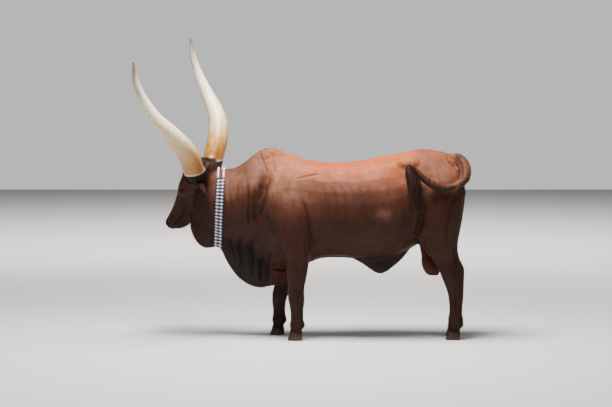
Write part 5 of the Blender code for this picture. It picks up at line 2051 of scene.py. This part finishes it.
@dataclass(frozen=True)
class Collar:
    """The beaded band under the neck and its two beaded cords over the crest."""

    place: float = -0.621
    top: float = 1.168
    width: float = 0.065
    columns: int = 14
    pitch: float = 0.00417
    rows_a_diamond: int = 6
    diamond: tuple = (3.8, 3.3)
    core: tuple = (0.0203, 0.950)
    cords: tuple = (("front", -0.641), ("rear", -0.601))
    cord_radius: float = 0.006
    smoothing: int = 50
    thread: float = 0.0006
    unevenness: float = 0.00016
    strip_depth: float = 0.0048
    end_gap: float = 0.002
    lean: float = 0.056
    band_bead: tuple = (0.00235, 0.00210, 0.0021)
    cord_bead: tuple = (0.0026, 0.0021, 0.0022)

    def build(self) -> None:
        """The dressed band and cords."""
        finish = BeadFinish().material()
        for name in ("collar_band_left", "collar_band_right", "collar_cord_front", "collar_cord_rear"):
            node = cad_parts[name]
            node.data.materials.clear()
            node.data.materials.append(finish)
        tree = self.surface("collar_band_left", "collar_band_right")
        self.band(tree)
        for word, x in self.cords:
            settle(self.cord(word, x), BeadFinish(), Slot.CORD)

    @staticmethod
    def surface(*names: str) -> BVHTree:
        """The frame nodes' surface, ready for rays.

        Args:
            names: the nodes' names.

        Returns:
            The surface.
        """
        points = []
        faces = []
        for name in names:
            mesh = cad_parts[name].data
            first = len(points)
            points.extend(vertex.co.copy() for vertex in mesh.vertices)
            faces.extend(tuple(first + corner for corner in face.vertices) for face in mesh.polygons)
        return BVHTree.FromPolygons(points, faces)

    @staticmethod
    def look(tree: BVHTree, start: Vector, angle: float, slope: float) -> Vector:
        """The outermost place of the surface at an angle round that point, 0 straight down.

        Args:
            tree: the surface.
            start: the point.
            angle: the angle.
            slope: how far forward the ray leans.

        Returns:
            The place, or None.
        """
        for extra in (0.0, 0.004, -0.004, 0.008):
            rise = -math.cos(angle + extra)
            ray = Vector((slope * rise, math.sin(angle + extra), rise))
            hit = tree.ray_cast(start + ray * 0.75, -ray, 0.75)[0]
            if hit is not None:
                return hit
        return None

    def middle_line(self, tree: BVHTree) -> tuple:
        """Even places down the middle of the band, from its left top to its right top, and their headings.

        Args:
            tree: the frame's band.

        Returns:
            Places and directions.
        """
        x = self.place - self.lean * (self.top - self.core[1])
        start = Vector((x, *self.core)) + SHIFT
        seen = [self.look(tree, start, angle, self.lean) for angle in np.linspace(-2.95, 2.95, 6000)]
        seen = np.array([hit[:] for hit in seen if hit is not None and hit.z < self.top + 0.001])
        soften(seen, 60)
        length = travelled(seen)[-1]
        line = resample(seen, np.linspace(self.end_gap, length - self.end_gap, int(length / self.pitch)))
        headings = unit(np.gradient(line, axis=0))
        for _ in range(16):
            headings[1:-1] = unit(headings[:-2] + headings[1:-1] + headings[2:])
        return line, headings

    def grid(self, tree: BVHTree) -> tuple:
        """An even, smoothed grid of places over the band's outer face.

        Args:
            tree: the frame's band.

        Returns:
            Places by row and column, and the normals there.
        """
        line, headings = self.middle_line(tree)
        shares = np.linspace(-0.5, 0.5, self.columns)
        rows = []
        for spot, heading in zip(line, headings):
            across = np.array([1.0, 0.0, 0.0])
            across = unit(across - heading * across.dot(heading))
            out = np.cross(across, heading)
            inner = np.array((spot[0], self.core[0] + SHIFT.y, self.core[1]))
            out = out * (1 if out.dot(spot - inner) > 0 else -1)
            row = []
            for share in shares:
                start = spot + across * share * self.width * 0.96
                hit = tree.ray_cast(Vector(start + out * 0.03), Vector(-out), 0.06)[0]
                row.append(np.array(hit[:]) if hit is not None else start)
            rows.append(row)
        grid = np.array(rows)
        soften(grid, self.smoothing)
        soften(grid.swapaxes(0, 1), 4)
        normals = unit(np.cross(np.gradient(grid, axis=1), np.gradient(grid, axis=0)))
        inner = np.array((0.0, self.core[0] + SHIFT.y, self.core[1]))
        rel = (grid - inner) * np.array((0, 1, 1))
        facing = np.sign(np.einsum("ijk,ijk->ij", normals, rel).mean())
        return grid, normals * facing

    def band(self, tree: BVHTree) -> None:
        """The beads of the band and the woven strip that carries them.

        Args:
            tree: the frame's band.
        """
        grid, normals = self.grid(tree)
        rng = np.random.default_rng(SEED)
        across = unit(np.gradient(grid, axis=1))
        flat_normals = normals.reshape(-1, 3)
        level = across.reshape(-1, 3)
        level = unit(level - flat_normals * np.einsum("ij,ij->i", level, flat_normals)[:, None])
        axes = np.stack([level, np.cross(flat_normals, level), flat_normals], 1)
        centres = grid.reshape(-1, 3) + flat_normals * self.thread
        centres = centres + rng.normal(0, self.unevenness, centres.shape)
        points, faces = BeadShape().place(centres, axes, self.band_bead)
        beads = mesh_object("collar_beads", points, faces)
        rows = np.arange(len(grid)) - len(grid) // 2
        columns = range(self.columns)
        navy = np.array([[self.is_navy(column, row) for column in columns] for row in rows], float)
        store(beads.data, "navy", np.repeat(navy.ravel(), BEAD_POINTS))
        store(beads.data, "shade", np.repeat(rng.uniform(size=navy.size), BEAD_POINTS))
        settle(beads, BeadFinish(), Slot.BAND)
        strip = self.strip(grid, normals, navy)
        settle(strip, BeadFinish(), Slot.BAND, "collar_band_left", "collar_band_right")

    def strip(self, grid: Array, normals: Array, navy: Array) -> Object:
        """The woven strip under the beads, threaded in their colours.

        Args:
            grid: the band's places by row and column.
            normals: the normals there.
            navy: 1 where the bead is dark.

        Returns:
            The piece.
        """
        outer = grid - normals * self.thread
        inner = grid - normals * self.strip_depth
        loops = np.concatenate([outer, inner[:, ::-1]], axis=1)
        count = loops.shape[1]
        quads = tube_grid(len(loops), count)
        ends = []
        for first in (0, (len(loops) - 1) * count):
            for column in range(self.columns - 1):
                last = first + count - 1 - column
                ends.append((first + column, first + column + 1, last - 1, last))
        piece = mesh_object("collar_strip", loops.reshape(-1, 3), np.concatenate([quads, np.array(ends)]))
        store(piece.data, "navy", np.concatenate([navy, navy[:, ::-1]], axis=1).ravel())
        store(piece.data, "shade", np.ones(loops.shape[0] * count))
        return piece

    def is_navy(self, column: int, row: int) -> bool:
        """Whether that bead is part of a dark diamond.

        Args:
            column: the bead's column.
            row: its row, from the band's middle.

        Returns:
            Whether it is.
        """
        half = (self.columns - 1) / 2
        across = min(abs(column - centre) for centre in (0.0, half, 2 * half))
        down = (row + self.rows_a_diamond // 2) % self.rows_a_diamond - self.rows_a_diamond // 2
        return across / self.diamond[0] + abs(down) / self.diamond[1] < 1.0

    def cord(self, word: str, x: float) -> Object:
        """The beads round one cord.

        Args:
            word: front or rear.
            x: how far along the bull it hangs.

        Returns:
            The piece.
        """
        tree = self.surface(f"collar_cord_{word}")
        start = Vector((x, self.core[0], 1.15)) + SHIFT
        line = []
        for angle in np.linspace(0.9, 2 * math.pi - 0.9, 1500):
            hit = self.look(tree, start, angle, 0.0)
            if hit is None:
                continue
            ray = np.array([0.0, math.sin(angle), -math.cos(angle)])
            line.append(np.array(hit) - ray * self.cord_radius)
        line = np.array(line)
        line[:, 0] = x + SHIFT.x
        spots = resample(line, np.arange(self.end_gap, travelled(line)[-1] - self.end_gap, self.pitch))
        ahead = unit(np.gradient(spots, axis=0))
        side = np.tile([1.0, 0.0, 0.0], (len(spots), 1))
        other = np.cross(ahead, side)
        centres = []
        axes = []
        for index in range(6):
            turn = index * math.pi / 3
            out = side * math.cos(turn) + other * math.sin(turn)
            centres.append(spots + out * (self.cord_radius - self.thread))
            axes.append(np.stack([np.cross(out, ahead), ahead, out], 1))
        points, faces = BeadShape().place(np.concatenate(centres), np.concatenate(axes), self.cord_bead)
        piece = mesh_object(f"cord_beads_{word}", points, faces)
        rng = np.random.default_rng(SEED)
        store(piece.data, "navy", np.zeros(len(points)))
        store(piece.data, "shade", np.repeat(rng.uniform(size=len(points) // BEAD_POINTS), BEAD_POINTS))
        return piece


# -------- coat
TUFT_POINTS = 7  # three at its root, three at its middle and its tip
ROOT_DEPTH = 0.0007  # how far under the skin a tuft starts


@dataclass(frozen=True)
class Tufts:
    """One patch of the coat: how many tufts, how long, wide and raised, and how unruly."""

    name: str
    count: int
    length: float
    width: float
    rise: float
    stray: float = 0.12


PATCHES = (
    Tufts("coat_flank_left", 11500, 0.011, 0.0011, 0.038),
    Tufts("coat_flank_right", 11500, 0.011, 0.0011, 0.038),
    Tufts("coat_neck", 11500, 0.010, 0.0010, 0.038),
    Tufts("coat_crest", 7000, 0.013, 0.0010, 0.080, 0.18),
    Tufts("coat_under", 8000, 0.014, 0.0012, 0.130, 0.18),
    Tufts("coat_legs", 9500, 0.0075, 0.0009, 0.045),
    Tufts("coat_heels", 2600, 0.017, 0.0013, 0.150, 0.16),
    Tufts("coat_face", 10000, 0.0050, 0.0008, 0.060),
    Tufts("coat_poll", 6000, 0.017, 0.0010, 0.150, 0.28),
    Tufts("coat_tail", 3400, 0.013, 0.0012, 0.090),
)
HORN_TUFTS = Tufts("horn_fringe", 6400, 0.015, 0.0012, 0.07, 0.14)
FOOT_TUFTS = Tufts("foot_fringe", 1500, 0.014, 0.0010, 0.10, 0.16)
EAR_TUFTS = Tufts("ear_fringe", 3000, 0.012, 0.0008, 0.05, 0.12)


@dataclass
class Coat:
    """Short tufts over the skin, that follow the lie of the coat."""

    skin: Object
    head: HeadFrame

    def build(self) -> None:
        """All patches of the coat, and the fringes of the horns, ears and feet."""
        self.read()
        finish = HideFinish(name="coat_hair", strands=True, hair_bump=0.0002)
        rng = np.random.default_rng(SEED)
        weights = self.weights()
        for patch in PATCHES:
            settle(self.grow(patch, weights[patch.name], rng), finish, Slot.HIDE)
        for side in Side:
            fringes = [self.horn_fringe(side, rng), self.ear_fringe(side, rng)]
            fringes += [self.foot_fringe(pair, side, rng) for pair in ("fore", "hind")]
            for piece in fringes:
                settle(piece, finish, Slot.HIDE)

    def horn_fringe(self, side: Side, rng: Generator) -> Object:
        """Dark hair over the hidden part of one horn's root, as far as the hide reaches.

        Args:
            side: which side of the bull.
            rng: the source of chance.

        Returns:
            The piece.
        """
        word = side.word
        count = HORN_TUFTS.count
        root = self.head.horn_root(side)
        turn = rng.uniform(0, 2 * math.pi, count)
        other = np.cross(root.axis, root.upper)
        out = np.outer(np.cos(turn), root.upper) + np.outer(np.sin(turn), other)
        end = root.reach[0] - root.reach[1] * np.cos(turn)
        travel = end - 0.012 - 0.115 * rng.uniform(0, 1, count) ** 1.2
        graph = bpy.context.evaluated_depsgraph_get()
        shell = bpy.data.objects[f"horn_shell_{word}"]
        trees = [BVHTree.FromObject(thing, graph) for thing in (shell, self.skin)]
        roots = []
        normals = []
        for way_out, distance in zip(out, travel):
            start = root.place + root.axis * distance + way_out * 0.16
            found = [tree.ray_cast(Vector(start), Vector(-way_out), 0.16) for tree in trees]
            found = [hit for hit in found if hit[0] is not None]
            if found:
                spot, normal, _, _ = min(found, key=lambda hit: hit[3])
                roots.append(spot[:])
                normals.append(normal[:])
        roots = np.array(roots)
        normals = np.array(normals)
        way = root.axis + normals * 0.16 + rng.normal(0, HORN_TUFTS.stray, roots.shape)
        return fringe(HORN_TUFTS, word, roots, normals, way, 1.0, rng, deep=1.0, slate=0.35, dusty=0.2)

    def foot_fringe(self, pair: str, side: Side, rng: Generator) -> Object:
        """Hair that hangs from the leg over the top edges of the claws and dew claws.

        Args:
            pair: fore or hind.
            side: which side of the bull.
            rng: the source of chance.

        Returns:
            The piece.
        """
        word = side.word
        count = FOOT_TUFTS.count
        shell = bpy.data.objects[f"claws_{pair}_{word}"]
        corners = np.array([corner[:] for corner in shell.bound_box])
        spots = self.points[self.corners].mean(axis=1)
        near = (spots > corners.min(axis=0) - 0.02) & (spots < corners.max(axis=0) + 0.02)
        near = np.nonzero(np.all(near, axis=1))[0]
        tree = BVHTree.FromObject(shell, bpy.context.evaluated_depsgraph_get())
        gaps = np.array([tree.find_nearest(Vector(spots[index]))[3] for index in near])
        picks = rng.choice(near[gaps < 0.011], count)
        roots = spots[picks] + rng.normal(0, 0.0012, (count, 3))
        normals = unit(self.normals[self.corners[picks, 0]])
        way = np.array((-0.1, 0.0, -1.0)) + normals * 0.35 + rng.normal(0, FOOT_TUFTS.stray, (count, 3))
        return fringe(FOOT_TUFTS, f"{pair}_{word}", roots, normals, way, 1.0, rng, deep=0.9, dusty=0.3)

    def ear_fringe(self, side: Side, rng: Generator) -> Object:
        """Soft hair along the rim and in the cup of one ear.

        Args:
            side: which side of the bull.
            rng: the source of chance.

        Returns:
            The piece.
        """
        word = side.word
        count = EAR_TUFTS.count
        ear = Ear(side, self.head)
        mesh = bpy.data.objects[f"ear_skin_{word}"].data
        points = np.array([vertex.co[:] for vertex in mesh.vertices])
        facing = np.array([vertex.normal[:] for vertex in mesh.vertices])
        out, _, wide = arrays(ear.axes())
        loop = 2 * ear.columns - 2
        turn = np.arange(len(points)) % loop
        ring = np.arange(len(points)) // loop / (len(points) / loop)
        edge = (turn < 1) | (turn == ear.columns - 1)
        chance = np.where(edge, 9.0, np.where(turn >= ear.columns, 1.2, 0.8)) * ease(ring, 0.10, 0.20)
        picks = rng.choice(len(points), count, p=chance / chance.sum())
        roots = points[picks] + out * rng.uniform(-0.003, 0.003, (count, 1))
        normals = facing[picks]
        sideways = np.where(edge[picks], 0.9, 0.15) * np.where(turn[picks] < 1, -1.0, 1.0)
        way = out * 0.85 + wide * sideways[:, None] + rng.normal(0, EAR_TUFTS.stray, (count, 3))
        shorter = np.where(edge[picks], 1.0, 0.75)
        normals = unit(normals + (1 - np.abs(normals @ out))[:, None] * 0.001)
        return fringe(EAR_TUFTS, word, roots, normals, way, shorter, rng, deep=0.85, rufous=0.20)

    def read(self) -> None:
        """Takes the skin's triangles and markings as arrays."""
        mesh = self.skin.data
        mesh.calc_loop_triangles()
        corners = np.empty(len(mesh.loop_triangles) * 3, np.int32)
        mesh.loop_triangles.foreach_get("vertices", corners)
        self.corners = corners.reshape(-1, 3)
        self.points, self.normals = read_mesh(mesh)
        first, second, third = (self.points[self.corners[:, index]] for index in range(3))
        self.areas = np.linalg.norm(np.cross(second - first, third - first), axis=1) / 2
        self.marks = {name: np.empty(len(mesh.vertices), np.float32) for name in MARKS}
        for name, values in self.marks.items():
            mesh.attributes[name].data.foreach_get("value", values)

    def weights(self) -> dict:
        """How dense each patch grows at each triangle.

        Returns:
            One number a triangle, by the patch's name.
        """
        spots = self.points[self.corners].mean(axis=1)
        normal = unit(self.normals[self.corners].sum(axis=1))
        x, y, z = spots.T
        local = self.head.local(spots)
        head = self.head.share(x, local)
        keep = 1 - self.marks["bare"][self.corners[:, 0]]
        for side in Side:
            keep = keep * (np.linalg.norm(spots - np.array(self.head.eye_centre(side)), axis=1) > 0.029)
            horn = self.head.place + self.head.level_axes()[2] * (0.16 * side.value)
            keep = keep * (np.linalg.norm(spots - np.array(horn), axis=1) > 0.060)
        leg = (z < 0.56) * ((x > 0.70) | (np.abs(x + 0.13) < 0.135) * (z < 0.50))
        tail = (x > 1.13) * (z > 1.05) + (y < -0.225) * (x > 0.70) * (z > 1.06)
        tail = np.clip(tail + (z > 1.285) * (x > 1.02), 0, 1)
        poll = mound(local[:, 0], 0.015, 0.055) * mound(local[:, 2], 0.0, 0.080)
        poll = poll * ease(normal[:, 2], -0.1, 0.4) * (x < -0.66)
        body = (1 - head) * (1 - leg) * (1 - tail) * keep
        neck = ease(-x, 0.20, 0.26)
        front_back = np.abs(normal[:, 0])
        return {
            "coat_flank_left": body * (1 - neck) * (y < MIDDLE_Y),
            "coat_flank_right": body * (1 - neck) * (y >= MIDDLE_Y),
            "coat_neck": body * neck,
            "coat_crest": body * ease(normal[:, 2], 0.55, 0.85) * ease(-x, -1.0, 0.3) * (z > 1.1),
            "coat_under": body * ease(-normal[:, 2], 0.10, 0.60) * (z < 1.0),
            "coat_legs": leg * ease(z, 0.07, 0.09) * keep,
            "coat_heels": leg * ease(normal[:, 0], 0.2, 0.8) * ease(z, 0.08, 0.10) * ease(-z, -0.30, -0.20)
            + leg * ease(front_back, 0.0, 0.1) * ease(z, 0.072, 0.080) * ease(-z, -0.115, -0.095),
            "coat_face": head * keep * (1 - poll),
            "coat_poll": poll * keep,
            "coat_tail": tail * keep,
        }

    def lie(self, spots: Array, normals: Array) -> Array:
        """The way the hair lies at each place.

        Args:
            spots: the places.
            normals: the surface's normals there.

        Returns:
            Directions of length one.
        """
        x, _, z = spots.T
        along, out, _ = arrays(self.head.axes())
        local = self.head.local(spots)
        head = self.head.share(x, local)
        neck = ease(-x, 0.10, 0.35)
        leg = ease(-z, -0.70, -0.50)
        rump = ease(x, 0.75, 0.95)
        face = along * 0.9 - out * 0.35
        way = np.tile([0.86, 0.0, -0.50], (len(spots), 1))
        below = (leg, (0.15, 0.0, -0.98))
        for share, course in ((neck, (0.40, 0.0, -0.90)), (rump, (0.35, 0.0, -0.93)), below, (head, face)):
            way = way + share[:, None] * (np.array(course) - way)
        way = way - normals * np.einsum("ij,ij->i", way, normals)[:, None]
        return unit(way)

    def grow(self, patch: Tufts, weight: Array, rng: Generator) -> Object:
        """One patch of tufts.

        Args:
            patch: its numbers.
            weight: how dense it grows at each triangle.
            rng: the source of chance.

        Returns:
            The piece.
        """
        chance = self.areas * weight
        picks = rng.choice(len(chance), patch.count, p=chance / chance.sum())
        first, second = rng.uniform(size=(2, patch.count))
        fold = first + second > 1
        first[fold] = 1 - first[fold]
        second[fold] = 1 - second[fold]
        shares = np.stack([1 - first - second, first, second], 1)
        corners = self.corners[picks]
        spots = np.einsum("ij,ijk->ik", shares, self.points[corners])
        normals = unit(np.einsum("ij,ijk->ik", shares, self.normals[corners]))
        way = self.lie(spots, normals)
        across = np.cross(normals, way)
        way = unit(way + across * rng.normal(0, patch.stray, patch.count)[:, None])
        across = np.cross(normals, way)
        length = patch.length * rng.uniform(0.65, 1.25, patch.count)
        points = blades(spots, normals, way, across, length, patch.width, patch.rise, rng)
        marks = {name: np.einsum("ij,ij->i", shares, values[corners]) for name, values in self.marks.items()}
        return tuft_object(patch.name, points, spots, normals, normals, marks, (0.0, 0.1, 0.2), rng)


def fringe(tufts: Tufts, word: str, roots: Array, normals: Array, way: Array, shorter: object,
           rng: Generator, **marks) -> Object:
    """Tufts at given roots.

    Args:
        tufts: their numbers.
        word: the last part of the piece's name.
        roots: one place a tuft.
        normals: the surface's normals there.
        way: the way each tuft points.
        shorter: the share of its length that each tuft has.
        rng: the source of chance.
        marks: the strength of each marking.

    Returns:
        The piece.
    """
    way = unit(way)
    across = unit(np.cross(normals, way))
    length = tufts.length * shorter * rng.uniform(0.6, 1.2, len(roots))
    points = blades(roots, normals, way, across, length, tufts.width, tufts.rise, rng)
    marks = {mark: np.full(len(roots), strength) for mark, strength in marks.items()}
    facing = unit(normals + way * 0.2)
    return tuft_object(f"{tufts.name}_{word}", points, roots, normals, facing, marks, (0.0, 0.0, 0.0), rng)


def tuft_object(name: str, points: Array, roots: Array, normals: Array, facing: Array,
                marks: dict, paler: tuple, rng: Generator) -> Object:
    """Tufts as one object, with their normals, markings and bake patches.

    Args:
        name: the piece's name.
        points: the tufts' places, as blades gives them.
        roots: one place a tuft.
        normals: the surface's normals there.
        facing: the normals that the tufts are shaded with.
        marks: the strength of each marking, one number a tuft.
        paler: how much paler a tuft is at its root, middle and tip.
        rng: the source of chance.

    Returns:
        The piece.
    """
    count = len(roots)
    piece = mesh_object(name, points, blade_faces(count))
    facing = np.repeat(facing, TUFT_POINTS, axis=0).astype(np.float32)
    piece.data.normals_split_custom_set_from_vertices(facing)
    store_marks(piece.data, **{mark: np.repeat(values, TUFT_POINTS) for mark, values in marks.items()})
    strand = np.repeat(rng.uniform(0, 0.8, count), TUFT_POINTS)
    store(piece.data, "strand", strand + np.tile(np.repeat(paler, (3, 3, 1)), count))
    bake_map(piece, roots, normals)
    return piece


def blades(spots: Array, normals: Array, way: Array, across: Array, length: Array,
           width: float, rise: float, rng: Generator) -> Array:
    """Bent three-sided tufts of TUFT_POINTS points each.

    Args:
        spots: their roots.
        normals: the skin's normals there.
        way: the way each lies.
        across: its sideways direction.
        length: its length.
        width: its width at the root.
        rise: how high its middle stands, as a share of its length.
        rng: the source of chance.

    Returns:
        Places, TUFT_POINTS for each tuft.
    """
    count = len(spots)
    lift = rise * rng.uniform(0.6, 1.4, count)
    half = (width * rng.uniform(0.7, 1.3, count) / 2)[:, None]
    root = spots - normals * ROOT_DEPTH
    middle = spots + way * (length * 0.5)[:, None] + normals * (length * lift)[:, None]
    tip = spots + way * length[:, None] + normals * (length * lift * 0.9)[:, None]
    thick = half * 0.55
    rows = [
        root + across * half,
        root - across * half,
        root + normals * thick * 2,
        middle + across * half * 0.85,
        middle - across * half * 0.85,
        middle + normals * thick,
        tip,
    ]
    return np.stack(rows, 1).reshape(-1, 3)


def blade_faces(count: int) -> Array:
    """The ten triangles of each of `count` tufts.

    Args:
        count: how many tufts.

    Returns:
        The triangles.
    """
    one = np.array([
        (0, 1, 2), (0, 3, 4), (0, 4, 1), (1, 4, 5), (1, 5, 2), (2, 5, 3), (2, 3, 0),
        (3, 6, 4), (4, 6, 5), (5, 6, 3),
    ])
    return (one[None] + np.arange(count)[:, None, None] * TUFT_POINTS).reshape(-1, 3)


def bake_map(piece: Object, spots: Array, normals: Array) -> None:
    """Gives each tuft its own small patch at its root's place on a box unwrap of the body.

    Args:
        piece: the tufts.
        spots: their roots.
        normals: the skin's normals there.
    """
    x, y, z = spots.T
    facing = np.abs(normals).argmax(axis=1)
    plus = normals[np.arange(len(spots)), facing] > 0
    inner = np.where(facing == 1, (y > MIDDLE_Y) != plus, x > 0.3)
    island = facing * 4 + plus * 2 + inner
    wide = np.choose(facing, [y / 1.2 + 0.5, x / 2.6 + 0.5, x / 2.6 + 0.5])
    tall = np.choose(facing, [z / 2.4, z / 2.4, y / 1.2 + 0.5])
    u = (island % 4 + 0.02 + 0.96 * np.clip(wide, 0, 1)) / 4
    v = (island // 4 + 0.02 + 0.96 * np.clip(tall, 0, 1)) / 3
    shape = np.array([(-1, -1), (1, -1), (0, -0.6), (-0.8, 0), (0.8, 0), (0, 0.2), (0, 1)]) * 0.0015
    places = np.stack([u, v], 1)[:, None, :] + shape[None]
    mesh = piece.data
    layer = mesh.uv_layers.new(name="OFBake")
    owners = np.empty(len(mesh.loops), np.int32)
    mesh.loops.foreach_get("vertex_index", owners)
    layer.data.foreach_set("uv", places.reshape(-1, 2)[owners].astype(np.float32).ravel())


# -------- studio
@dataclass(frozen=True)
class Studio:
    """Floor, lights and camera."""

    camera_height: float = 1.525
    camera_distance: float = 12.0
    lens: float = 96.3
    pitch: float = math.atan(73.5 / 1637.1)

    def build(self) -> None:
        """Sets the pale floor, the soft lights and the camera."""
        points = np.array([(-30, -30, 0), (30, -30, 0), (30, 30, 0), (-30, 30, 0)], float)
        floor = mesh_object("floor", points, np.array([[0, 1, 2, 3]]))
        floor.data.materials.append(FloorFinish().material())
        self.lamp("over", (-0.3, -1.0, 5.2), (0.0, 0.0, 0.9), 2.2, 800)
        self.lamp("front_fill", (-5.0, -5.5, 2.4), (-0.2, 0.0, 0.9), 3.5, 30)
        self.lamp("rear_fill", (5.0, 4.5, 3.4), (0.3, 0.0, 0.9), 3.5, 90)
        # four high lamps out on the floor, aimed away, so that it stays pale to its horizon
        for index, (x, y, power) in enumerate(((0, 1, 2600), (1, 0, 1500), (0, -1, 1300), (-1, 0, 1500))):
            self.lamp(f"far_floor_{index}", (10.0 * x, 10.0 * y, 8.0), (18.0 * x, 18.0 * y, 0.0), 12.0, power)
        self.air()
        camera = bpy.data.cameras.new("camera")
        camera.lens = self.lens
        camera.sensor_width = 36.0
        camera.clip_end = 100.0
        holder = link("camera", camera)
        holder.location = (SHIFT.x, SHIFT.y - self.camera_distance, self.camera_height)
        holder.rotation_euler = (math.pi / 2 - self.pitch, 0, 0)
        bpy.context.scene.camera = holder

    @staticmethod
    def air() -> None:
        """A pale backdrop that gives the room only a soft, even light."""
        world = bpy.data.worlds.new("studio_air")
        world.use_nodes = True
        tree = world.node_tree
        shown = tree.nodes["Background"]
        shown.inputs["Color"].default_value = tint(236, 236, 238)
        shown.inputs["Strength"].default_value = 0.80
        soft = tree.nodes.new("ShaderNodeBackground")
        soft.inputs["Color"].default_value = tint(236, 236, 240)
        soft.inputs["Strength"].default_value = 0.14
        path = tree.nodes.new("ShaderNodeLightPath")
        mixed = tree.nodes.new("ShaderNodeMixShader")
        tree.links.new(path.outputs["Is Camera Ray"], mixed.inputs[0])
        tree.links.new(soft.outputs[0], mixed.inputs[1])
        tree.links.new(shown.outputs[0], mixed.inputs[2])
        tree.links.new(mixed.outputs[0], tree.nodes["World Output"].inputs["Surface"])
        bpy.context.scene.world = world

    @staticmethod
    def lamp(name: str, place: tuple, aim: tuple, size: float, power: float) -> None:
        """One square soft light that looks at a place.

        Args:
            name: its name.
            place: where it hangs.
            aim: where it looks.
            size: its side.
            power: its watts.
        """
        light = bpy.data.lights.new(name, "AREA")
        light.size = size
        light.energy = power
        holder = link(name, light)
        holder.location = place
        holder.rotation_euler = (Vector(aim) - Vector(place)).to_track_quat("-Z", "Y").to_euler()


def main() -> None:
    """Builds every piece in order and reports it."""
    logging.basicConfig(level=logging.INFO, format="%(message)s")
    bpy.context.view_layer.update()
    head = HeadFrame()
    Studio().build()
    skin = Skin(head)
    hide = skin.build()
    settle(hide, HideFinish(), Slot.HIDE, *FLESH)
    surface = BVHTree.FromObject(hide, bpy.context.evaluated_depsgraph_get())
    for side in Side:
        Eye(side, head).build()
        Ear(side, head).build()
        Horn(side, head).build()
        Foot("fore", side).build()
        Foot("hind", side).build()
    Switch().build(surface)
    Collar().build()
    Coat(hide, head).build()


if __name__ == "__main__":
    main()
